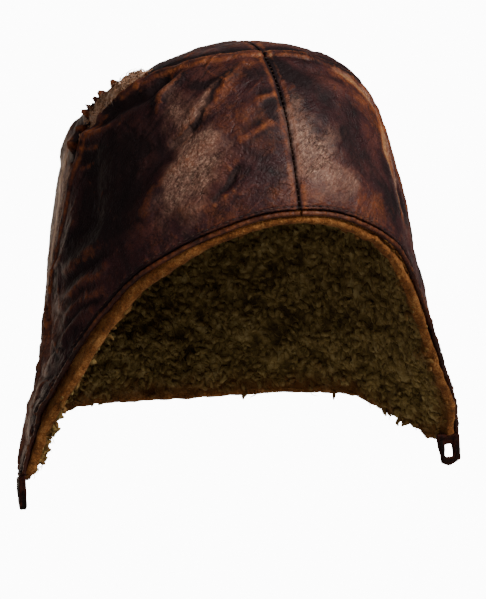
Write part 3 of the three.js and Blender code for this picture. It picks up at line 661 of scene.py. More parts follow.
def backGrid(side):
    # A back quarter: straight across from the crown seam to the middle of the back, bent to the
    # nape's line at its foot. The tear takes its start back from the seam.
    sign = signOf[side]
    edge, middleSeam = panelTracks(side)
    seam = movedTrack(middleSeam, -sign * helmet["pieceGap"] / 2)
    top = besideMiddle(sign, trackAt(seam, 0)[1])
    heel = seamEnd(side, middleSeam, edge, -1)
    foot = besideMiddle(sign, trackAt(edge["back"], 1)[1])
    s, w = closeAtEnds(leatherSheet["backAlong"], 0.06), closeAtEnds(leatherSheet["backAcross"])
    start = pulled(seam, top, heel, s)
    middle = besideMiddle(sign, top[1] + s * (foot[1] - top[1]))
    torn = np.zeros(len(s))
    if side == "right":
        wide = np.linalg.norm(smoothSkin(start) - smoothSkin(middle), axis=1)
        back = np.interp(turnOf(start), tear["turn"], tear["back"])
        ragged = 1 + 0.22 * cloudNoise(smoothSkin(start), 5, 3, 77)
        torn = back * ragged / np.maximum(wide, 1)
    share = torn[:, None] + (1 - torn[:, None]) * w
    below = pulled(edge["back"], heel, foot, share.ravel()).reshape(*share.shape, 2)
    share, s = share[..., None], s[:, None, None]
    bend = below - (heel * (1 - share) + foot * share)
    return start[:, None] * (1 - share) + middle[:, None] * share + bend * s, torn


def leatherPiece(name, node, points, lines, form):
    # A sheet between its worn outer face and a smoother inner one. The lines are its sides on the
    # disk, and the form gives height, rounding, rubbing, and dark stains with painted shadow from
    # the distances to them. Crests stand above the surface's mean close by, and hollows lie below
    # it or below a wider mean; the hollows get painted shade.
    place, _, _, normal = skinFrame(points)
    relief = skinRelief(place)
    away = {}
    for key, line in lines.items():
        path = smoothSkin(line[::4] if len(line) > 200 else line[::2])
        away[key] = nearLine(place, path, 400)[0]
    height, rounding, edge, stainAndShadow = form(place, away)
    outer = place + normal * (relief + height - rounding)[..., None]
    within = softBlur(relief + 0.8 * height, 3) - helmet["leather"]
    share = leatherSheet["share"]
    inner = (place + normal * within[..., None])[:, ::share]
    rows, columns = points.shape[0], points.shape[1] - 1
    quads, triangles = shellFaces(rows, columns, share)
    vertices = np.vstack([outer.reshape(-1, 3), inner.reshape(-1, 3)])
    surface = relief + height
    crest = (surface - softBlur(surface, leatherSheet["crestBlur"])) / leatherSheet["crestHeight"]
    basin = (softBlur(surface, leatherSheet["basinBlur"]) - surface) / leatherSheet["basinDepth"]
    both = lambda grid: np.concatenate([grid.ravel(), grid[:, ::share].ravel()])
    # The hollow value darkens hollows and creases as painted shade
    values = {"ridge": both(np.clip(crest, 0, 1)), "hollow": both(np.clip(
        np.maximum(-crest, basin), 0, 1)), "rubbed": both(edge)}
    values.update({kind: both(zoneAt(place, kind)) for kind in zones})
    most = leatherSheet["mostWear"]
    # Dark seams and painted shadow from the sides join the dusk values
    values["dusk"] = np.clip(values["dusk"] + both(stainAndShadow), 0, most)
    values["rubbed"] = np.clip(values["rubbed"] + values.pop("bare"), 0, most)
    piece = makePiece(name, vertices, quads, triangles, values)
    mergeDoubles(piece)
    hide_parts(node)
    return piece


def pucker(place, away, reach):
    # Small gathers beside a seam, which fade away from it
    return leatherSheet["pucker"] * valueNoise(place, leatherSheet["puckerSize"], 91) * bell(
        away - reach, reach)


def topstitch(away):
    # The groove that the stitches pull in, with a low swelling on both sides
    line = away - leatherSheet["stitchLine"]
    return (leatherSheet["stitchSwell"] * bell(line, leatherSheet["stitchSwellWidth"])
            - leatherSheet["stitchGroove"] * bell(line, leatherSheet["stitchWidth"]))


# Bells beside a panel's sides: which side, how far from it, how wide and how strong
sideBells = {
    "front height": [("middle", 3, 1.6, 0.25)],
    "front rubbed": [("seam", 0.6, 1.5, 1), ("seam", 5, 1.4, 0.55), ("middle", 2.6, 1.5, 0.5),
                     ("edge", 0, 1.2, 0.35)],
    # The front and tucked rows paint shadow: along the front panel's edge above the roll, and on
    # the back panel where it tucks under the front one's band. The middle rows darken the seams.
    "front stain": [("middle", 0, 1.1, 0.9), ("edge", 0, 1.4, 0.9)],
    "back rubbed": [("middle", 2.4, 1.4, 0.5), ("edge", 0, 1.2, 0.3)],
    "back stain": [("middle", 0, 1.1, 0.8)],
    "torn rubbed": [("seam", 0, 2.2, 0.5)],
    "torn stain": [("seam", 0, 3, 1)],
    "tucked stain": [("seam", 0, 5.2, 2)],
}


def bells(away, key):
    # Sum of one row of the table's bells
    return sum(amount * bell(away[side] - at, width) for side, at, width, amount in sideBells[key])


def roundedSides(away, seamRadius):
    # What the roundings of a panel's sides take off, which never cuts through the leather
    radii = {"seam": seamRadius, "middle": "middleRadius", "edge": "rawRadius"}
    total = sum(roundOff(away[side], leatherSheet[radius]) for side, radius in radii.items())
    return np.minimum(total, helmet["leather"] - leatherSheet["leastEdge"])


def frontForm(place, away):
    # The crown seam's turned-in edge stands up as a band, and the brow seam lies in a dip
    seam, middle, edge = away["seam"], away["middle"], away["edge"]
    height = (helmet["seamRise"] * np.exp(-(seam / helmet["seamWidth"])**4)
              - leatherSheet["bandGroove"] * bell(seam - leatherSheet["bandAt"],
                                                  leatherSheet["bandGrooveWidth"])
              - helmet["browDip"] * bell(place[..., 0], helmet["browDipWidth"])
              + pucker(place, seam, 3) + bells(away, "front height") + pucker(place, middle, 2)
              + topstitch(edge) + pucker(place, edge, 2.4))
    # The front panel is dark at its middle seam, and painted shadow darkens its edge above the
    # roll
    return (height, roundedSides(away, "turnedRadius"),
            np.clip(bells(away, "front rubbed"), 0, 1), bells(away, "front stain"))


def backForm(torn):
    # The back panel tucks under the front one's band; along the tear its edge is raw and lifts
    raw = np.clip(torn * 60, 0, 1)[:, None]

    def form(place, away):
        seam, middle, edge = away["seam"], away["middle"], away["edge"]
        curled = leatherSheet["tornLift"] * np.clip(0.5 + 1.3 * valueNoise(place, 3.2, 95), 0, 1)
        height = (raw * curled * bell(seam, 2.2)
                  - (1 - raw) * leatherSheet["backSink"] * bell(seam, 3)
                  - leatherSheet["browSink"] * bell(place[..., 0], helmet["browDipWidth"])
                  + pucker(place, middle, 2) + topstitch(edge) + pucker(place, edge, 2.4))
        rubbed = np.clip(raw * bells(away, "torn rubbed") + bells(away, "back rubbed"), 0, 1)
        # Where it tucks under the band the back panel is darkened as painted shadow
        stainAndShadow = ((1 - raw) * bells(away, "tucked stain") + raw * bells(away, "torn stain")
                 + bells(away, "back stain"))
        return height, roundedSides(away, "rawRadius"), rubbed, stainAndShadow
    return form


leatherPieces = []
for side in ("right", "left"):
    grid = frontGrid(side)
    lines = {"seam": grid[:, 0], "middle": grid[0],
             "edge": np.vstack([grid[:, -1], grid[-1, ::-1]])}
    leatherPieces.append(leatherPiece(f"front_leather_{side}", f"front_panel_{side}", grid, lines,
                                      frontForm))
    grid, torn = backGrid(side)
    lines = {"seam": grid[:, 0], "middle": grid[:, -1], "edge": grid[-1]}
    leatherPieces.append(leatherPiece(f"back_leather_{side}", f"back_panel_{side}", grid, lines,
                                      backForm(torn)))

# The sheepskin: its wool side, its rounded edge and its skin side are one grid round the hollow
sheepskin = {
    "turns": 460, "wool": 96, "edge": 10, "skinNear": 12, "skinFar": 14, "nearReach": 18,
    "edgeThinning": 0.3, "edgeRadius": 1.5, "lump": 1.3, "clump": 2.3, "smallClump": 1.0,
    "bandStart": 0.9, "bandWidth": 3.4, "bandLump": 0.5, "ragged": 0.7, "flapRagged": 3.4,
    "flapTurn": 104, "flapWidth": 16, "edgeGap": 0.75, "rimReach": 9,
}


def liningEdge():
    # The row of the disk at which the sheepskin ends, by turn, on each side
    table = {}
    for side in ("right", "left"):
        reach = lambda points: np.interp(turnOf(points), fleeceShow["turn"], fleeceShow["reach"])
        points = np.vstack([track["points"] for track in edgeTracks(side, reach).values()])
        turn = turnOf(points)
        order = np.argsort(turn)
        table[side] = turn[order], np.hypot(*points.T)[order]
    return table


def rowMillimetres(turn, row):
    # How many millimetres one row is worth at the edge
    angle = np.radians(turn)
    ray = np.stack([np.sin(angle), -np.cos(angle)], -1)
    near = smoothSkin(ray * (row - 0.02)[..., None])
    return ray, np.linalg.norm(smoothSkin(ray * row[..., None]) - near, axis=-1) / 0.02


def sheepskinGrid():
    # Each turn carries a profile: down the wool side, round the edge by a half circle, and up the
    # skin side. It is returned with each point's side, from 1 for wool to -1 for skin, and its
    # distance from the edge.
    table = liningEdge()
    even = np.linspace(0, 1, sheepskin["turns"] // 2 + 1)
    half = 180 * (even + 0.06 * np.sin(2 * np.pi * even))
    turn = np.concatenate([half, -half[1:-1][::-1]])
    size = np.abs(turn)
    row = np.where(turn < 0, np.interp(size, *table["right"]), np.interp(size, *table["left"]))
    ray, millimetres = rowMillimetres(turn, row)
    angle = np.linspace(-np.pi / 2, np.pi / 2, sheepskin["edge"] + 1)[1:-1]
    radius = sheepskin["edgeRadius"]
    woolShare = closeAtEnds(sheepskin["wool"], 0.07)
    nearShare = np.linspace(0, 1, sheepskin["skinNear"] + 1)
    farShare = np.linspace(1, 0, sheepskin["skinFar"] + 1)[1:]
    end = row - radius / millimetres
    near = end - sheepskin["nearReach"] / millimetres
    rows = np.concatenate([
        end[:, None] * woolShare,
        end[:, None] + radius * np.cos(angle) / millimetres[:, None],
        end[:, None] * (1 - nearShare) + near[:, None] * nearShare,
        near[:, None] * farShare], axis=1)
    side = np.concatenate([np.ones(len(woolShare)), -np.sin(angle),
                           -np.ones(len(nearShare) + len(farShare))])
    points = ray[:, None] * rows[..., None]
    toEdge = (row[:, None] - rows) * millimetres[:, None]
    return points, side, toEdge


def sheepskinPiece():
    # The skin side lies below the leather, and the wool side is lumpy with clumps, which are the
    # size of noise without its sign. The edge is thinner, and ragged most of all on the flaps.
    points, side, toEdge = sheepskinGrid()
    place, _, _, normal = skinFrame(points)
    thin = 1 - sheepskin["edgeThinning"] * bell(np.maximum(toEdge, 0), 12)
    half = helmet["fleece"] * thin / 2
    gap = helmet["liningGap"] - sheepskin["edgeGap"] * bell(np.maximum(toEdge, 0), 9)
    depth = helmet["leather"] + gap + half * (1 + side)
    woolly = np.clip(side, 0, 1) * np.clip(
        (toEdge - sheepskin["bandStart"]) / sheepskin["bandWidth"], 0, 1)
    billow = lambda size, seed: np.abs(cloudNoise(place, size, 2, seed)) - 0.35
    lumps = (sheepskin["lump"] * cloudNoise(place, 15, 2, 101)
             + sheepskin["clump"] * billow(8, 111) + sheepskin["smallClump"] * billow(4, 121))
    flap = bell(turnOf(points) - sheepskin["flapTurn"], sheepskin["flapWidth"])
    ragged = (sheepskin["ragged"] + sheepskin["flapRagged"] * flap) * bell(
        np.maximum(toEdge, 0), 5) * cloudNoise(place, 8, 3, 131)
    surface = place + normal * (woolRelief(place) - depth - woolly * lumps - sheepskin[
        "bandLump"] * (1 - woolly) * cloudNoise(place, 5, 3, 141))[..., None]
    surface[..., 2] += ragged
    pits = np.clip(0.45 + lumps / 3.4, 0, 1)
    values = {"woolly": woolly, "pits": pits * woolly + (1 - woolly) * 0.75,
              "rim": np.exp(-np.maximum(toEdge, 0) / sheepskin["rimReach"])}
    piece = makePiece("sheepskin_lining", surface.reshape(-1, 3),
                      gridQuads(closedGrid(*surface.shape[:2]).T), values=values)
    mergeDoubles(piece)
    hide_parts("fleece_lining")
    return piece, surface, toEdge


liningPiece, liningSurface, liningToEdge = sheepskinPiece()

# Wool on the sheepskin: fat matted tufts all over, and thin hairs near the edges
flow = {"size": 12, "seed": 151, "stray": 0.35, "fall": -0.2}
tuft = {"rings": 5, "sides": 5, "length": (3.5, 7), "radius": (1.1, 2.2), "rise": (0.4, 1.3),
        "sink": 1.0, "curl": (0.4, 1.6), "taper": (0.1, 0.94), "finer": 0.5}
hair = {"rings": 5, "sides": 3, "length": (3.5, 7), "radius": (0.16, 0.32), "rise": (1.0, 2.4),
        "sink": 0.3, "curl": (0.4, 1.5), "taper": (0.4, 0.95), "finer": 0.2}


def woolPiece(name, root, normal, rim, form, seed):
    # Each strand runs from its root along the skin, rising and falling by half a sine and swaying
    # by a sine of its own phase. Its radius is a stretch of a half sine, to the power 0.7.
    random = np.random.default_rng(seed)
    count = len(root)
    pick = lambda key: random.uniform(*form[key], (count, 1, 1))
    lie = np.stack([cloudNoise(root, flow["size"], 2, flow["seed"] + k) for k in range(3)], -1)
    lie = lie + flow["stray"] * random.normal(size=(count, 3)) + [0, 0, flow["fall"]]
    ahead = unit(lie - (lie * normal).sum(-1, keepdims=True) * normal)
    aside = np.cross(normal, ahead)
    t = np.linspace(0, 1, form["rings"])[None, :, None]
    length, rise, curl = pick("length"), pick("rise"), pick("curl")
    phase, turns = random.uniform(0, 6.3, (count, 1, 1)), random.uniform(0.4, 1.1, (count, 1, 1))
    n, a, b = normal[:, None], ahead[:, None], aside[:, None]
    sway = curl * (np.sin(phase + 6.28 * turns * t) - np.sin(phase))
    path = (root[:, None] + a * length * t + b * sway
            + n * (rise * np.sin(np.pi * (0.12 + 0.8 * t)) - form["sink"]))
    first, last = form["taper"]
    radius = pick("radius") * np.sin(np.pi * (first + (last - first) * t))**0.7
    radius = radius * (1 - form["finer"] * rim[:, None, None])
    angle = 2 * np.pi * np.arange(form["sides"]) / form["sides"] + phase[..., 0]
    sideways = unit(np.cross(unit(np.gradient(path, axis=1)), n + 1e-6))
    upright = np.cross(unit(np.gradient(path, axis=1)), sideways)
    points = form["rings"] * form["sides"]
    values = {"tone": np.repeat(random.uniform(0, 1, count), points),
              "rim": np.repeat(rim, points),
              "tip": np.tile(np.repeat(np.linspace(0, 1, form["rings"]), form["sides"]), count)}
    piece = strandsPiece(name, path, sideways, upright, radius, angle, values)
    return piece


def scatterOn(surface, keep, count, seed):
    # Random places on a grid's cells, by their area times a weight, with the cells' normals and
    # numbers
    random = np.random.default_rng(seed)
    a, b, c = surface[:-1, :-1], surface[1:, :-1], surface[:-1, 1:]
    cross = np.cross(b - a, c - a)
    weight = (np.linalg.norm(cross, axis=-1) * keep[:-1, :-1]).ravel()
    chosen = random.choice(len(weight), count, p=weight / weight.sum())
    f, g = random.uniform(0, 1, (2, count, 1))
    corner = a.reshape(-1, 3)[chosen]
    root = (corner + f * (b.reshape(-1, 3)[chosen] - corner)
            + g * (c.reshape(-1, 3)[chosen] - corner))
    return root, unit(cross.reshape(-1, 3)[chosen]), chosen


# How many stand on the lining, where they start above its edge, over how far they come in, how
# dense they are far from it and how much denser near it, and the seed
stands = {
    "tufts": {"count": 7400, "from": 3, "over": 4, "far": 1, "near": 0.8, "fades": 25, "seed": 5},
    "hairs": {"count": 1500, "from": 1.6, "over": 2, "far": 0.25, "near": 1, "fades": 10,
              "seed": 6},
}
hollowMiddle = np.array([0, 0, -90])
woolSurface, toEdge = (np.vstack([grid, grid[:1]]) for grid in (
    liningSurface[:, :sheepskin["wool"] + 1], liningToEdge[:, :sheepskin["wool"] + 1]))


def inwardPlaces(stand):
    # Places on the wool side, with normals into the hollow and how near the rim each is
    density = np.clip((toEdge - stand["from"]) / stand["over"], 0, 1) * (
        stand["far"] + stand["near"] * np.exp(-toEdge / stand["fades"]))
    roots, normals, chosen = scatterOn(woolSurface, density, stand["count"], stand["seed"])
    sense = np.sign((normals * (hollowMiddle - roots)).sum(-1, keepdims=True))
    rims = np.exp(-toEdge[:-1, :-1].ravel()[chosen] / sheepskin["rimReach"])
    return roots, normals * sense, rims


tufts = inwardPlaces(stands["tufts"])
front = tufts[0][:, 1] < np.median(tufts[0][:, 1])
lockPieces = [
    woolPiece("wool_tufts_front", *(part[front] for part in tufts), tuft, 7),
    woolPiece("wool_tufts_back", *(part[~front] for part in tufts), tuft, 8),
    woolPiece("wool_hairs", *inwardPlaces(stands["hairs"]), hair, 9),
]

# The tear: wool swells out between the crown seam and the torn edge of the right back panel
tornWool = {"along": 110, "across": 40, "turns": (50, 56, 62, 69, 76, 82, 88), "width": 17,
            "swellShare": (0, 0.6, 1, 0.7, 0.35, 0.1, 0), "swell": 3.4,
            "under": 2.7, "thickness": 0.6, "tucked": 2.2, "lump": 1.5, "tufts": 900,
            "hairs": 350, "stained": 0.3}
tornTuft = dict(tuft, radius=(0.5, 1.1), length=(2, 4), rise=(0.3, 1.0))


def tornPiece():
    # Across the gap the wool rises by a lopsided bell from under the leather, and it tapers to
    # nothing at both ends of the tear
    seam = movedTrack(trackThrough(crownSeam["right"], -1), helmet["pieceGap"])
    tornAt = np.interp(tornWool["turns"], turnOf(seam["points"]),
                       seam["lengths"] / seam["lengths"][-1])
    start, stop = tornAt[0], tornAt[-1]
    s = np.linspace(0, 1, tornWool["along"] + 1)
    line = trackAt(seam, start + s * (stop - start))
    direction = headings(line)
    w = np.linspace(0, 1, tornWool["across"] + 1)
    points = np.stack([shifted(line, direction, np.full(
        len(s), tornWool["width"] * f - tornWool["tucked"])) for f in w], 1)
    place, _, _, normal = skinFrame(points)
    swell = (np.interp(start + s * (stop - start), tornAt, tornWool["swellShare"])[:, None]
             * np.sin(np.pi * w**0.75)[None]**1.2)
    lumps = tornWool["lump"] * (cloudNoise(place, 5.5, 3, 161) + 0.4) * swell
    outer = place + normal * (foldHeight(place) * 0.6 - tornWool["under"]
                              + tornWool["swell"] * swell + lumps)[..., None]
    inner = place + normal * (woolRelief(place) - tornWool["under"]
                              - tornWool["thickness"])[..., None]
    share = leatherSheet["share"]
    quads, triangles = shellFaces(len(s), tornWool["across"], share)
    vertices = np.vstack([outer.reshape(-1, 3), inner[:, ::share].reshape(-1, 3)])
    size = len(vertices)
    pits = np.concatenate([np.clip(0.5 + lumps / 2, 0, 1).ravel(),
                           np.full(size - lumps.size, 0.5)])
    values = {"woolly": np.ones(size), "pits": pits, "rim": np.full(size, tornWool["stained"])}
    piece = makePiece("torn_wool", vertices, quads, triangles, values)
    found = []
    for kind, form in (("tufts", tornTuft), ("hairs", hair)):
        roots, normals, _ = scatterOn(outer, np.clip(swell - 0.12, 0, 0.5), tornWool[kind], 9)
        sense = np.sign((normals * (roots - hollowMiddle)).sum(-1, keepdims=True))
        found.append(woolPiece(f"torn_wool_{kind}", roots, normals * sense,
                               np.full(len(roots), tornWool["stained"]), form, 10))
    return [piece, *found]


tornPieces = tornPiece()

# The rolled edges: a strip of leather turned round the rim
roll = {"sides": 16, "halfDepth": 1.25, "centreDepth": 0.75, "pucker": 0.14,
        "puckerLength": 4.3, "flatness": 0.8}


def rollPiece(name, node, stretches):
    # The section is a squared circle; each of its sides runs on a track of its own, at its own
    # distance from the rim, and its height swells and sinks between the stitches
    angle = 2 * np.pi * np.arange(roll["sides"]) / roll["sides"]
    square = lambda value: np.sign(value) * np.abs(value)**roll["flatness"]
    half = helmet["rollWidth"] / 2
    down, depth = half * (square(np.cos(angle)) - 1), roll["centreDepth"] + square(
        np.sin(angle)) * roll["halfDepth"]
    columns = []
    for amount in down:
        line = [trackAt(edgeTracks(side, amount)[part], np.linspace(start, stop, count + 1))
                for side, part, start, stop, count in stretches]
        columns.append(np.vstack(line))
    points = np.stack(columns, 1)
    place, _, _, normal = skinFrame(points)
    middle = place.mean(1, keepdims=True)
    length = lengthsAlong(middle[:, 0])[:, None]
    drift = length + 2.5 * valueNoise(middle, 14, 175)
    swell = roll["pucker"] * (np.sin(2 * np.pi * drift / roll["puckerLength"])
                              + 2.6 * cloudNoise(place, 7, 3, 171))
    lift = skinRelief(np.repeat(middle, roll["sides"], 1))
    surface = place + normal * (lift - depth - swell * np.sin(angle))[..., None]
    rings, sides = surface.shape[:2]
    index = np.arange(rings * sides).reshape(rings, sides)
    around = np.hstack([index, index[:, :1]])
    vertices = np.vstack([surface.reshape(-1, 3), surface[0].mean(0), surface[-1].mean(0)])
    caps = np.vstack([np.stack([around[0, 1:], around[0, :-1], np.full(sides, index.size)], -1),
                      np.stack([around[-1, :-1], around[-1, 1:],
                                np.full(sides, index.size + 1)], -1)])
    outwardShare = np.clip(-np.sin(angle), 0, 1) * np.ones((rings, 1))
    pad = lambda grid, end: np.concatenate([grid.ravel(), [end, end]])
    gather = 0.5 + 0.4 * np.sin(2 * np.pi * drift / roll["puckerLength"])
    # The hollow value darkens the roll's inner side and flanks as painted shade
    values = {"ridge": pad(outwardShare * gather * 0.5, 0), "rubbed": pad(
        outwardShare**3 * 0.25, 0), "hollow": pad((1 - outwardShare) * 0.5, 0)}
    values.update({kind: pad(zoneAt(place, kind) * 0.5, 0) for kind in ("rust", "dusk", "scuffAndHighlight")})
    piece = makePiece(name, vertices, gridQuads(around), caps, values)
    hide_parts(node)
    return piece


faceStretch = ("face", 0.003, 0.997, 380)
rollPieces = [
    rollPiece("face_roll_right", "face_binding_right", [("right", *faceStretch)]),
    rollPiece("face_roll_left", "face_binding_left", [("left", *faceStretch)]),
    rollPiece("nape_roll", "nape_binding", [
        ("right", "bottom", 0.03, 1, 24), ("right", "back", 0, 1, 200),
        ("left", "back", 1, 0, 200), ("left", "bottom", 1, 0.03, 24)]),
]

# Stitches: how high a row's leather lies, how far its stitches are apart, how long and thick its
# threads are, and the seed of their lean
stitch = {"rings": 7, "sides": 6, "lift": 0.22, "dive": 0.75}
seams = {
    "rim": {"height": -0.3, "pitch": 3.7, "length": 2.7, "radius": 0.27, "seed": 21},
    "crown": {"height": 0.75, "pitch": 3.2, "length": 2.0, "radius": 0.2, "seed": 22},
    "brow": {"height": -1.55, "pitch": 2.9},
    "middle": {"height": -1.25, "pitch": 2.9, "length": 2.3, "radius": 0.22, "seed": 23},
}


def stitchRow(track, start, stop, seam, across=False):
    # Even steps along a track: the middle of each stitch, its direction and the skin's normal
    path = trackAt(track, np.linspace(start, stop, 600))
    length = lengthsAlong(smoothSkin(path))
    count = int(length[-1] / seams[seam]["pitch"])
    f = (np.arange(count) + 0.5) / count
    at = np.stack([np.interp(f * length[-1], length, path[:, k]) for k in (0, 1)], -1)
    place, along, up, normal = skinFrame(at)
    heading = headings(at)
    ahead = unit(along * heading[:, :1] + up * heading[:, 1:])
    direction = np.cross(ahead, normal) if across else ahead
    surface = place + normal * (skinRelief(place) + seams[seam]["height"])[:, None]
    return surface, direction, normal


def stitchPiece(name, rows, seam):
    # Each stitch is a thread that comes up out of the leather, runs flat and goes down again: the
    # height falls by the fourth power of the distance from its middle
    centre, direction, normal = (np.vstack([row[k] for row in rows]) for k in range(3))
    count = len(centre)
    random = np.random.default_rng(seams[seam]["seed"])
    t = np.linspace(-1, 1, stitch["rings"])[None, :, None]
    lean = unit(direction + 0.12 * random.normal(size=(count, 3)))
    size = seams[seam]["length"] * random.uniform(0.85, 1.05, (count, 1, 1))
    path = (centre[:, None] + lean[:, None] * size / 2 * t
            + normal[:, None] * (stitch["lift"] - stitch["dive"] * t**4))
    angle = 2 * np.pi * np.arange(stitch["sides"])[None] / stitch["sides"]
    aside = np.cross(normal, lean)
    piece = strandsPiece(name, path, aside[:, None], normal[:, None],
                         seams[seam]["radius"] * (1 - 0.5 * t**6), angle)
    return piece


rimRows, seamRows = [], []
for side in ("right", "left"):
    sign = signOf[side]
    line = -(helmet["rollWidth"] + helmet["rollGap"] + leatherSheet["stitchLine"])
    for part, span in (("face", (0.01, 0.985)), ("bottom", (0.05, 0.95)), ("back", (0.03, 0.99))):
        rimRows.append(stitchRow(edgeTracks(side, line)[part], *span, "rim"))
    crown = trackThrough(crownSeam[side], sign)
    seamRows.append(stitchRow(movedTrack(crown, sign * 3.6), 0.03, 0.97, "crown"))
    top, brow = trackAt(crown, 0)[1], trackAt(edgeTracks(side, line)["face"], 0)[1]
middleFront = makeTrack(np.stack([np.zeros(200), np.linspace(top * 1.03, brow * 1.01, 200)], -1))
foot = trackAt(edgeTracks("left", line)["back"], 1)[1]
middleBack = makeTrack(np.stack([np.full(200, 1e-6), np.linspace(0.4, foot, 200)], -1))
crossRows = [stitchRow(middleFront, 0, 1, "brow", True),
             stitchRow(middleBack, 0, 1, "middle", True)]
stitchPieces = [
    stitchPiece("rim_stitches", rimRows, "rim"),
    stitchPiece("crown_seam_stitches", seamRows, "crown"),
    stitchPiece("middle_seam_stitches", crossRows, "middle"),
]

# Strap loops: a band of two leather layers, folded round a slot and sewn under the flap's tip
strapLoop = {
    "width": 13, "height": 15, "thickness": 4, "taper": 2, "cornerDrop": 3.5, "outerLeg": 4.45,
    "slotTop": 2.9, "slotWidth": 4.3, "slotHeight": 6.7, "around": 176, "section": 36,
    "squareness": 0.62, "layerGroove": 0.35, "tuck": 3.0, "wobble": 0.25,
}
loopPlace = {
    "right": {"turn": 98, "drop": 224.4, "inset": -0.6, "facing": 82},
    "left": {"turn": 93, "drop": 219.4, "inset": -0.4, "facing": -8},
}


def roundedOutline(corners, count, rounding):
    # A closed polygon walked by its length, with its corners softened by a running mean
    loop = np.vstack([corners, corners[:1]])
    length = lengthsAlong(loop)
    at = np.linspace(0, length[-1], count, endpoint=False)
    points = np.stack([np.interp(at, length, loop[:, k]) for k in (0, 1)], -1)
    window = max(1, int(rounding / length[-1] * count))
    shifts = range(-window, window + 1)
    return sum(np.roll(points, k, axis=0) for k in shifts) / (2 * window + 1)


def loopPiece(side):
    # Rays from the slot's middle meet the slot and the outline; between the two the section is a
    # squared oval, with a groove round the outside where the two layers meet
    place, size = loopPlace[side], strapLoop
    width, height = size["width"], size["height"]
    outline = np.array([(0, size["tuck"]), (-width, size["tuck"]), (-width, 0),
                        (-width + size["taper"], size["cornerDrop"] / 2 - height),
                        (-width / 2, -height), (0, size["cornerDrop"] - height)], float)
    centre = np.array([-size["outerLeg"] - size["slotWidth"] / 2,
                       -size["slotTop"] - size["slotHeight"] / 2])
    halfWidth, halfHeight = size["slotWidth"] / 2, size["slotHeight"] / 2
    slot = centre + [(halfWidth, halfHeight), (-halfWidth, halfHeight), (-halfWidth, -halfHeight),
                     (halfWidth, -halfHeight)]
    angle = 2 * np.pi * np.arange(size["around"]) / size["around"]

    def ray(line):
        closed = np.vstack([line, line[:1]]) - centre
        own = np.unwrap(np.arctan2(closed[:, 1], closed[:, 0]))
        own, radius = own[:-1], np.hypot(*closed[:-1].T)
        order = np.argsort(own % (2 * np.pi))
        return np.interp(angle, (own % (2 * np.pi))[order], radius[order], period=2 * np.pi)

    far = ray(roundedOutline(outline, 600, 1.0))
    near = ray(roundedOutline(slot, 600, 1.0))
    turn = 2 * np.pi * np.arange(size["section"]) / size["section"]
    square = lambda value: np.sign(value) * np.abs(value)**size["squareness"]
    across, through = square(np.cos(turn)), square(np.sin(turn))
    middle, half = ((far + near) / 2)[:, None], ((far - near) / 2)[:, None]
    groove = size["layerGroove"] * bell(np.sin(turn), 0.22) * (np.cos(turn) > 0)
    groove = groove * np.ones((size["around"], 1))
    radius = middle + half * across - groove
    direction = np.stack([np.cos(angle), np.sin(angle)], -1)[:, None]
    flat = centre + direction * radius[..., None]
    thick = size["thickness"] / 2 * through * np.ones_like(radius)
    local = np.stack([flat[..., 0], thick, flat[..., 1]], -1)
    local[..., 1] -= size["thickness"] / 2
    facing = math.radians(place["facing"])
    rotation = np.array([[math.cos(facing), -math.sin(facing), 0],
                         [math.sin(facing), math.cos(facing), 0], [0, 0, 1]])
    at, _, _, normal = skinFrame(onDisk(signOf[side] * place["turn"], place["drop"]))
    at = at + normal * (foldHeight(at[None], wander=0)[0] - place["inset"])
    wobble = size["wobble"] * cloudNoise(local, 4, 2, 181)
    shift = unit(local - local.mean(1, keepdims=True)) * wobble[..., None]
    surface = (local + shift) @ rotation.T + at
    index = closedGrid(size["around"], size["section"])
    outer = np.clip(np.cos(turn), 0, 1) * np.ones((size["around"], 1))
    corner = np.abs(np.cos(turn) * np.sin(turn)) * 2 * np.ones((size["around"], 1))
    patchy = valueNoise(local, 5, 191).ravel()
    # The hollow value darkens the groove between the two layers as painted shade
    values = {"ridge": (corner * 0.4).ravel(), "rubbed": (0.3 * corner**2 + 0.1 * outer).ravel(),
              "hollow": (groove * 2).ravel(), "rust": np.clip(patchy, 0, 1) * 0.5,
              "dusk": np.clip(-patchy, 0, 1) * 0.7, "scuffAndHighlight": np.clip(patchy - 0.4, 0, 1)}
    piece = makePiece(f"chin_loop_{side}", surface.reshape(-1, 3),
                      gridQuads(np.hstack([index, index[:, :1]])), values=values)
    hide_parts(f"strap_loop_{side}")
    return piece


loopPieces = [loopPiece(side) for side in ("right", "left")]


# Materials
def colour(code):
    # A screen colour like 6b3f25 as the linear values that shaders use
    parts = [int(code[k:k + 2], 16) / 255 for k in (0, 2, 4)]
    return (*(p / 12.92 if p <= 0.04045 else ((p + 0.055) / 1.055)**2.4 for p in parts), 1)


def node(tree, kind, inputs=None, **settings):
    # Adds a node; an input is either another node's output or a plain value
    made = tree.nodes.new(kind)
    for key, value in settings.items():
        setattr(made, key, value)
    for key, value in (inputs or {}).items():
        if isinstance(value, bpy.types.NodeSocket):
            tree.links.new(value, made.inputs[key])
        else:
            made.inputs[key].default_value = value
    return made


def ramp(tree, factor, stops):
    # Colours at their positions, blended straight between them
    made = node(tree, "ShaderNodeValToRGB", {"Fac": factor})
    elements = made.color_ramp.elements
    while len(elements) < len(stops):
        elements.new(0.5)
    for element, (position, tone) in zip(elements, stops):
        element.position, element.color = position, colour(tone)
    return made.outputs["Color"]


def noise(tree, vector, scale, detail=4.0, roughness=0.55, distortion=0.0):
    return node(tree, "ShaderNodeTexNoise", {
        "Vector": vector, "Scale": scale, "Detail": detail, "Roughness": roughness,
        "Distortion": distortion}).outputs["Fac"]


def combine(tree, operation, *inputs):
    return node(tree, "ShaderNodeMath", dict(enumerate(inputs)), operation=operation).outputs[0]


def product(tree, first, *others):
    for other in others:
        first = combine(tree, "MULTIPLY", first, other)
    return first


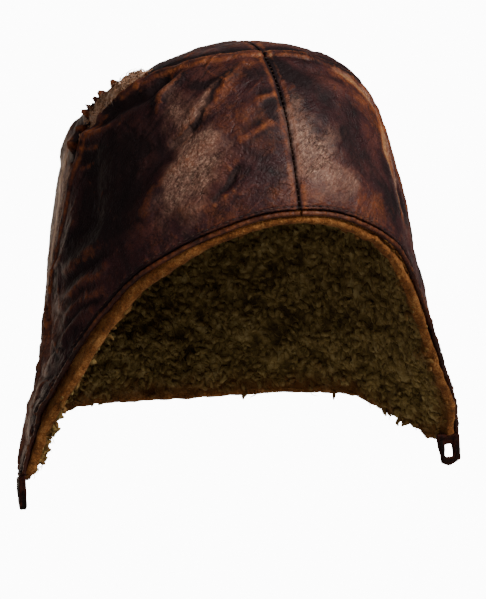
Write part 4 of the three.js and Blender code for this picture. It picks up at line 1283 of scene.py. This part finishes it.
def weighted(tree, *terms):
    # Sum of values, each times its weight
    total = 0.0
    for value, weight in terms:
        total = combine(tree, "MULTIPLY_ADD", value, weight, total)
    return total


def spread(tree, value, low, high, toLow=0.0, toHigh=1.0):
    # Stretches a value from one range to another and holds it at the ends
    return node(tree, "ShaderNodeMapRange", {
        "Value": value, "From Min": low, "From Max": high, "To Min": toLow,
        "To Max": toHigh}).outputs["Result"]


def blendColour(tree, factor, a, b):
    return node(tree, "ShaderNodeMix", {0: factor, 6: a, 7: b}, data_type="RGBA").outputs[2]


def warped(tree, vector, scale, detail, amount):
    # Places moved by the colours of a noise
    warp = node(tree, "ShaderNodeTexNoise", {"Vector": vector, "Scale": scale, "Detail": detail})
    shift = node(tree, "ShaderNodeVectorMath", {0: warp.outputs["Color"], 1: (amount,) * 3},
                 operation="MULTIPLY")
    return node(tree, "ShaderNodeVectorMath", {0: vector, 1: shift.outputs[0]}).outputs[0]


def roundCells(tree, vector, scale, smoothness, low, high):
    # Rounded cells: 1 in their middles and 0 along their borders
    cells = node(tree, "ShaderNodeTexVoronoi", {
        "Vector": vector, "Scale": scale, "Smoothness": smoothness}, feature="SMOOTH_F1")
    return spread(tree, cells.outputs["Distance"], low, high, 1.0, 0.0)


def newGroup(name, inputs, outputs):
    # A node group with a vector input, numbers with their defaults, and numbers as outputs
    tree = bpy.data.node_groups.new(name, "ShaderNodeTree")
    tree.interface.new_socket("Vector", in_out="INPUT", socket_type="NodeSocketVector")
    for key, value in inputs.items():
        socket = tree.interface.new_socket(key, in_out="INPUT", socket_type="NodeSocketFloat")
        socket.default_value = value
    for key in outputs:
        tree.interface.new_socket(key, in_out="OUTPUT", socket_type="NodeSocketFloat")
    source = tree.nodes.new("NodeGroupInput").outputs
    target = tree.nodes.new("NodeGroupOutput").inputs
    return tree, source, target


def useGroup(tree, group, inputs):
    return node(tree, "ShaderNodeGroup", inputs, node_tree=group).outputs


def attribute(tree, name):
    return node(tree, "ShaderNodeAttribute", attribute_name=name).outputs["Fac"]


def makeGrain():
    # Leather grain: rounded pebbles with dark creases between them, finer pores, and a net of
    # wider cracks where the leather is dry
    tree, source, target = newGroup("leather grain", {"Pebbles": 900.0, "Cracks": 0.5},
                                    ("Height", "Creases"))
    vector = source["Vector"]
    bent = warped(tree, vector, 320.0, 3.0, 0.0016)
    pebble = roundCells(tree, bent, source["Pebbles"], 0.6, 0.1, 0.75)
    cracks = node(tree, "ShaderNodeTexVoronoi", {"Vector": bent, "Scale": 210.0},
                  feature="DISTANCE_TO_EDGE")
    crack = product(tree, spread(tree, cracks.outputs["Distance"], 0.0, 0.09, 1.0, 0.0),
                    spread(tree, noise(tree, vector, 60.0, 3.0), 0.45, 0.65), source["Cracks"])
    fine = noise(tree, vector, 2200.0, 3.0, 0.7)
    tree.links.new(weighted(tree, (fine, 0.35), (pebble, 1.0), (crack, -1.0)), target["Height"])
    tree.links.new(combine(tree, "SUBTRACT", 1.0, pebble), target["Creases"])
    return tree


def makeWearAndShade():
    # Where leather is rubbed and where it is darkened: crests and edges are rubbed, hollows get
    # painted shade, the zones add to both, with dusk's stains and painted shade on the dark side,
    # and noise breaks all of it up
    tree, source, target = newGroup("rubbing, dirt and painted shade", dict.fromkeys(
        ("Ridge", "Hollow", "Rubbed", "Rust", "Dusk"), 0.0), ("Rubbing", "DirtAndShade"))
    vector = source["Vector"]
    broken = weighted(tree, (noise(tree, vector, 480.0, 5.0, 0.7), 0.8),
                      (noise(tree, vector, 70.0, 5.0, 0.62), 1.0))
    high = weighted(tree, (source["Rubbed"], 0.8), (source["Ridge"], 0.55),
                    (source["Rust"], 0.42), (source["Dusk"], -0.35), (broken, 0.8))
    low = weighted(tree, (source["Dusk"], 0.85), (source["Hollow"], 0.6), (broken, 0.6))
    tree.links.new(spread(tree, high, 0.85, 1.6), target["Rubbing"])
    tree.links.new(spread(tree, low, 0.7, 1.35), target["DirtAndShade"])
    return tree


def makeWoolTone():
    # Matted wool: rounded clumps with dark clefts between them, smaller clumps on those, and a
    # streaky fibre over all
    tree, source, target = newGroup("matted wool", {"Clumps": 230.0}, ("Tone", "Height"))
    vector = source["Vector"]
    bent = warped(tree, vector, 170.0, 4.0, 0.009)
    clump = roundCells(tree, bent, source["Clumps"], 0.4, 0.12, 0.66)
    little = roundCells(tree, bent, 620.0, 0.5, 0.12, 0.66)
    fibre = noise(tree, vector, 1100.0, 6.0, 0.75, 2.0)
    tree.links.new(weighted(tree, (noise(tree, vector, 75.0, 4.0, 0.6), 0.42), (clump, 0.34),
                            (little, 0.14), (fibre, 0.22)), target["Tone"])
    tree.links.new(weighted(tree, (little, 0.35), (clump, 0.7), (fibre, 0.4)), target["Height"])
    return tree


grainGroup, wearAndShadeGroup, woolGroup = makeGrain(), makeWearAndShade(), makeWoolTone()


def newMaterial(name):
    # An empty material with its shader, and the object's own coordinates
    made = bpy.data.materials.new(name)
    made.use_nodes = True
    tree = made.node_tree
    tree.nodes.clear()
    shader = tree.nodes.new("ShaderNodeBsdfPrincipled")
    output = tree.nodes.new("ShaderNodeOutputMaterial")
    tree.links.new(shader.outputs[0], output.inputs["Surface"])
    vector = tree.nodes.new("ShaderNodeTexCoord").outputs["Object"]
    return made, tree, shader, vector


def drawnOut(tree, vector):
    # Creases, and scuffs with their painted highlights, are drawn out from the wearer's upper left
    # to the lower right flap
    return node(tree, "ShaderNodeMapping", {
        "Vector": vector, "Rotation": (0, math.radians(-42), 0), "Scale": (2.2, 1.2, 1)},
        vector_type="TEXTURE").outputs[0]


def bump(tree, height, strength, distance, normal=None):
    inputs = {"Height": height, "Strength": strength, "Distance": distance}
    if normal is not None:
        inputs["Normal"] = normal
    return node(tree, "ShaderNodeBump", inputs).outputs["Normal"]


leatherFinish = {
    "worn": {"dark": "16090c", "mid": "3b1c1e", "brown": "5a302a", "rubbed": "904c26",
             "orange": "a66133", "scuffAndHighlight": "8a6252", "fleckAndGlint": "c29c84", "raw": "c09468",
             "pebbles": 900.0, "rough": (0.48, 0.76), "specular": 0.22},
    "rolled": {"dark": "1a0a07", "mid": "3e1c12", "brown": "5e2e1a", "rubbed": "93512a",
               "orange": "a56432", "scuffAndHighlight": "8f6a4e", "fleckAndGlint": "b08860", "raw": "c08f5f",
               "pebbles": 1000.0, "rough": (0.42, 0.66), "specular": 0.22},
    "strap": {"dark": "080303", "mid": "160806", "brown": "2a0f0a", "rubbed": "4a1d10",
              "orange": "5a2a16", "scuffAndHighlight": "43291f", "fleckAndGlint": "4a2e20", "raw": "5a3622",
              "pebbles": 1100.0, "rough": (0.6, 0.8), "specular": 0.08},
}


def leatherMaterial(name, finish):
    # From the dye's mottle up: dirt with painted shade, rubbing, scuffs with flecks that are also
    # painted highlights and glints, creases, bare leather and grain
    made, tree, shader, vector = newMaterial(name)
    over = lambda factor, below, key: blendColour(tree, factor, below, colour(finish[key]))
    rubbedAndShaded = useGroup(tree, wearAndShadeGroup, {"Vector": vector, **{
        key.capitalize(): attribute(tree, key)
        for key in ("ridge", "hollow", "rubbed", "rust", "dusk")}})
    grain = useGroup(tree, grainGroup, {"Vector": vector, "Pebbles": finish["pebbles"]})
    base = ramp(tree, noise(tree, vector, 42.0, 7.0, 0.62, 0.5), [
        (0.34, finish["dark"]), (0.5, finish["mid"]), (0.66, finish["brown"])])
    rubbed = ramp(tree, noise(tree, vector, 210.0, 5.0, 0.65), [
        (0.35, finish["brown"]), (0.52, finish["rubbed"]), (0.7, finish["orange"])])
    # Darkening from dirt and from painted shade in hollows, creases and dents goes over the mottle
    worn = blendColour(tree, rubbedAndShaded["Rubbing"], over(product(tree, rubbedAndShaded["DirtAndShade"], 0.9), base, "dark"),
                       rubbed)
    along = drawnOut(tree, vector)
    speck = spread(tree, noise(tree, along, 560.0, 6.0, 0.75), 0.36, 0.62, 0.15, 1.0)
    # Scuffs paint pale worn leather and highlights, and the flecks on them paint glints in the
    # grain
    scuffedAndLit = weighted(tree, (attribute(tree, "scuffAndHighlight"), 1.0), (
        noise(tree, along, 130.0, 4.0), 0.9))
    worn = over(product(tree, spread(tree, scuffedAndLit, 0.6, 1.25), speck), worn, "scuffAndHighlight")
    worn = over(product(tree, spread(tree, scuffedAndLit, 0.95, 1.6), spread(
        tree, noise(tree, along, 900.0, 5.0, 0.8), 0.48, 0.66)), worn, "fleckAndGlint")
    line = combine(tree, "ABSOLUTE", combine(
        tree, "SUBTRACT", noise(tree, along, 88.0, 4.0, 0.6, 0.4), 0.5))
    crease = product(tree, spread(tree, line, 0.0, 0.022, 1.0, 0.0), spread(
        tree, noise(tree, vector, 46.0, 3.0), 0.42, 0.6))
    worn = over(product(tree, crease, 0.6), worn, "dark")
    raw = spread(tree, weighted(tree, (attribute(tree, "rubbed"), 1.0), (
        noise(tree, vector, 500.0, 4.0, 0.7), 0.6)), 1.1, 1.45)
    worn = over(product(tree, raw, 0.8), worn, "raw")
    tree.links.new(over(product(tree, grain["Creases"], 0.35), worn, "dark"),
                   shader.inputs["Base Color"])
    rough = spread(tree, weighted(tree, (noise(tree, vector, 130.0, 5.0, 0.6), 1.0), (
        rubbedAndShaded["DirtAndShade"], 0.3)), 0.35, 0.85, *finish["rough"])
    tree.links.new(rough, shader.inputs["Roughness"])
    shader.inputs["Specular IOR Level"].default_value = finish["specular"]
    normal = bump(tree, noise(tree, vector, 240.0, 5.0, 0.6), 0.3, 0.0012)
    normal = bump(tree, combine(tree, "SUBTRACT", spread(tree, line, 0.0, 0.09), crease), 0.35,
                  0.0011, normal)
    normal = bump(tree, grain["Height"], 0.42, 0.0004, normal)
    tree.links.new(normal, shader.inputs["Normal"])
    return made


woolFinish = {
    "body": [(0.32, "3a2c13"), (0.5, "69562b"), (0.66, "917944"), (0.86, "b79f68")],
    "torn": [(0.27, "5c3a26"), (0.45, "ac7f61"), (0.62, "d2a98e"), (0.85, "eed7c4")],
    "band": [(0.38, "48270f"), (0.5, "7e4a1e"), (0.63, "b07c46")],
    # deep is the colour of the painted shade up in the crown, and crown how much each kind takes
    "nearBand": "643c18", "deep": "1e1306", "crown": {"body": 0.3, "torn": 0.0},
    "sheen": "b88a58", "rough": 0.92, "specular": 0.2, "sheenWeight": 0.15, "sheenRough": 0.5,
}


def woolBase(name):
    made, tree, shader, vector = newMaterial(name)
    shader.inputs["Roughness"].default_value = woolFinish["rough"]
    shader.inputs["Specular IOR Level"].default_value = woolFinish["specular"]
    shader.inputs["Sheen Weight"].default_value = woolFinish["sheenWeight"]
    shader.inputs["Sheen Roughness"].default_value = woolFinish["sheenRough"]
    shader.inputs["Sheen Tint"].default_value = colour(woolFinish["sheen"])
    return made, tree, shader, vector


def woolColour(tree, vector, shade, kind):
    # Wool is darker up in the crown, as painted shade deep in the hollow, and in patches near the
    # edge the leather has stained it
    height = node(tree, "ShaderNodeSeparateXYZ", {"Vector": vector}).outputs["Z"]
    tone = blendColour(tree, spread(tree, height, -0.2, -0.13, 0.0, woolFinish["crown"][kind]),
                       ramp(tree, shade, woolFinish[kind]), colour(woolFinish["deep"]))
    share = weighted(tree, (attribute(tree, "rim"), 1.25), (noise(tree, vector, 110.0, 4.0, 0.6),
                                                            0.8))
    return blendColour(tree, spread(tree, share, 0.6, 1.15, 0.0, 0.85), tone,
                       colour(woolFinish["nearBand"]))


def woolMaterial(name, kind):
    # The sheepskin: wool inside, and the streaky band of its cut edge where it isn't woolly
    made, tree, shader, vector = woolBase(name)
    wool = useGroup(tree, woolGroup, {"Vector": vector})
    body = woolColour(tree, vector, weighted(
        tree, (wool["Tone"], 0.8), (attribute(tree, "pits"), 0.42)), kind)
    band = ramp(tree, weighted(tree, (noise(tree, vector, 140.0, 4.0), 0.4), (
        noise(tree, vector, 900.0, 5.0, 0.75, 1.0), 0.6)), woolFinish["band"])
    edge = weighted(tree, (attribute(tree, "woolly"), 1.0), (
        noise(tree, vector, 240.0, 5.0, 0.7), 1.6))
    final = blendColour(tree, spread(tree, edge, 0.85, 1.6), band, body)
    tree.links.new(final, shader.inputs["Base Color"])
    normal = bump(tree, noise(tree, vector, 420.0, 5.0, 0.7), 0.6, 0.0012)
    tree.links.new(bump(tree, wool["Height"], 0.9, 0.0013, normal), shader.inputs["Normal"])
    return made


def lockMaterial(name, kind):
    # Tufts and hairs: each has its own tone and is a little lighter towards its tip
    made, tree, shader, vector = woolBase(name)
    wool = useGroup(tree, woolGroup, {"Vector": vector, "Clumps": 420.0})
    shade = weighted(tree, (noise(tree, vector, 120.0, 4.0, 0.6), 0.4), (
        attribute(tree, "tone"), 0.12), (attribute(tree, "tip"), 0.1), (wool["Tone"], 0.58))
    tree.links.new(woolColour(tree, vector, shade, kind), shader.inputs["Base Color"])
    tree.links.new(bump(tree, wool["Height"], 0.5, 0.0008), shader.inputs["Normal"])
    return made


threadFinish = {"tones": [(0.35, "1a0e0a"), (0.55, "3a2015"), (0.75, "6a4126")], "rough": 0.6}


def threadMaterial():
    made, tree, shader, vector = newMaterial("waxed thread")
    base = ramp(tree, noise(tree, vector, 90.0, 4.0, 0.6), threadFinish["tones"])
    tree.links.new(base, shader.inputs["Base Color"])
    shader.inputs["Roughness"].default_value = threadFinish["rough"]
    twist = noise(tree, vector, 1500.0, 3.0, 0.6)
    tree.links.new(bump(tree, twist, 0.6, 0.0003), shader.inputs["Normal"])
    return made


def dress(pieces, material):
    for piece in pieces:
        piece.data.materials.clear()
        piece.data.materials.append(material)


dress(leatherPieces, leatherMaterial("worn leather", leatherFinish["worn"]))
dress(rollPieces, leatherMaterial("rolled leather", leatherFinish["rolled"]))
dress(loopPieces, leatherMaterial("strap leather", leatherFinish["strap"]))
dress([liningPiece], woolMaterial("sheepskin", "body"))
dress([tornPieces[0]], woolMaterial("torn sheepskin", "torn"))
dress(lockPieces, lockMaterial("wool", "body"))
dress(tornPieces[1:], lockMaterial("torn wool", "torn"))
dress(stitchPieces, threadMaterial())
print("materials done")

# The camera stands a little below the helmet's middle, to the wearer's right, and leans slightly
camera = {"turn": -19.08, "rise": -3.03, "distance": 1300, "target": (6.46, 0, -126.73),
          "focal": 2444, "lean": 3.87, "sensor": 36}


def placeCamera():
    # Looks at the target from its distance, at a turn round it, a rise and a lean
    turn, rise, lean = (math.radians(camera[key]) for key in ("turn", "rise", "lean"))
    across = Vector((math.cos(turn), math.sin(turn), 0))
    back = Vector((math.sin(turn) * math.cos(rise), -math.cos(turn) * math.cos(rise),
                   math.sin(rise)))
    up = back.cross(across)
    right = across * math.cos(lean) - up * math.sin(lean)
    top = across * math.sin(lean) + up * math.cos(lean)
    data = bpy.data.cameras.new("camera")
    data.sensor_width = camera["sensor"]
    data.lens = camera["sensor"] * camera["focal"] / max(imageSize)
    data.clip_start, data.clip_end = 0.05, 60
    made = bpy.data.objects.new("camera", data)
    rotation = Matrix((right, top, back)).transposed().to_4x4()
    place = (Vector(camera["target"]) + back * camera["distance"]) * millimetre
    made.matrix_world = Matrix.Translation(place) @ rotation
    bpy.context.scene.collection.objects.link(made)
    bpy.context.scene.camera = made


# The room: a pale floor that sweeps up all round and glows evenly behind the helmet, a soft key
# light in front on the picture's right, weaker ones at its left and below, and three behind
room = {"floor": -1.3, "flat": 3.0, "curve": 1.6, "wall": 2.2, "turns": 96, "glow": 12.0,
        "world": 0.06, "tone": "c8c8c8", "rough": 0.9, "aim": (0, 0, -0.12)}
lamps = {
    "key": {"at": (1.15, -1.75, 1.0), "size": 0.8, "power": 60, "tone": (1, 0.96, 0.91)},
    "front": {"at": (-0.9, -1.5, 1.5), "size": 0.8, "power": 6, "tone": (1, 0.96, 0.92)},
    "fill": {"at": (-2.3, -0.6, 0.2), "size": 1.6, "power": 0.4, "tone": (0.97, 0.98, 1)},
    "low": {"at": (-1.1, -1.5, -0.75), "size": 1.2, "power": 4.4, "tone": (1, 0.97, 0.93)},
    "back left": {"at": (-0.35, 2.3, 0.12), "size": 1.4, "power": 13, "tone": (1, 0.76, 0.58)},
    "back right": {"at": (1.0, 2.0, 0.12), "size": 1.4, "power": 9, "tone": (1, 0.78, 0.62)},
    "back top": {"at": (0.2, 1.7, 1.5), "size": 1.6, "power": 3, "tone": (1, 0.97, 0.93)},
}


def buildRoom():
    # The sweep is a profile of flat floor, quarter circle and wall, turned round the upright axis
    bend = np.linspace(0, np.pi / 2, 14)
    radius = np.concatenate([[0.02, 1, 2], room["flat"] + room["curve"] * np.sin(bend),
                             [room["flat"] + room["curve"]]])
    height = np.concatenate([[0, 0, 0], room["curve"] * (1 - np.cos(bend)),
                             [room["curve"] + room["wall"]]]) + room["floor"]
    angle = 2 * np.pi * np.arange(room["turns"]) / room["turns"]
    grid = np.stack([radius[None] * np.cos(angle)[:, None], radius[None] * np.sin(angle)[:, None],
                     height[None] * np.ones((len(angle), 1))], -1)
    index = closedGrid(*grid.shape[:2])
    faces = gridQuads(index).tolist() + [index[:-1, 0].tolist()]
    mesh = bpy.data.meshes.new("sweep")
    mesh.from_pydata(grid.reshape(-1, 3).tolist(), [], faces)
    mesh.shade_smooth()
    sweep = bpy.data.objects.new("sweep", mesh)
    bpy.context.scene.collection.objects.link(sweep)
    made, tree, shader, _ = newMaterial("lit paper")
    shader.inputs["Base Color"].default_value = colour(room["tone"])
    shader.inputs["Roughness"].default_value = room["rough"]
    glow = node(tree, "ShaderNodeEmission", {"Strength": room["glow"]})
    seen = tree.nodes.new("ShaderNodeLightPath").outputs["Is Camera Ray"]
    mix = node(tree, "ShaderNodeMixShader", {0: seen, 1: shader.outputs[0], 2: glow.outputs[0]})
    output = next(n for n in tree.nodes if n.bl_idname == "ShaderNodeOutputMaterial")
    tree.links.new(mix.outputs[0], output.inputs["Surface"])
    mesh.materials.append(made)


def buildLights():
    # Round lamps that face the helmet, and a world that is dim to it and bright to the camera
    for name, lamp in lamps.items():
        data = bpy.data.lights.new(name, "AREA")
        data.shape, data.size, data.energy, data.color = ("DISK", lamp["size"], lamp["power"],
                                                          lamp["tone"])
        made = bpy.data.objects.new(name, data)
        at = Vector(lamp["at"])
        made.matrix_world = Matrix.Translation(at) @ (
            (at - Vector(room["aim"])).to_track_quat("Z", "Y").to_matrix().to_4x4())
        bpy.context.scene.collection.objects.link(made)
    world = bpy.data.worlds.new("soft light")
    world.use_nodes = True
    tree = world.node_tree
    tree.nodes.clear()
    dim = node(tree, "ShaderNodeBackground", {"Strength": room["world"]})
    bright = node(tree, "ShaderNodeBackground", {"Strength": room["glow"]})
    seen = tree.nodes.new("ShaderNodeLightPath").outputs["Is Camera Ray"]
    mix = node(tree, "ShaderNodeMixShader", {0: seen, 1: dim.outputs[0], 2: bright.outputs[0]})
    for background in (dim, bright):
        background.inputs["Color"].default_value = (1, 1, 1, 1)
    output = tree.nodes.new("ShaderNodeOutputWorld")
    tree.links.new(mix.outputs[0], output.inputs["Surface"])
    bpy.context.scene.world = world


placeCamera()
buildRoom()
buildLights()
bpy.context.view_layer.update()
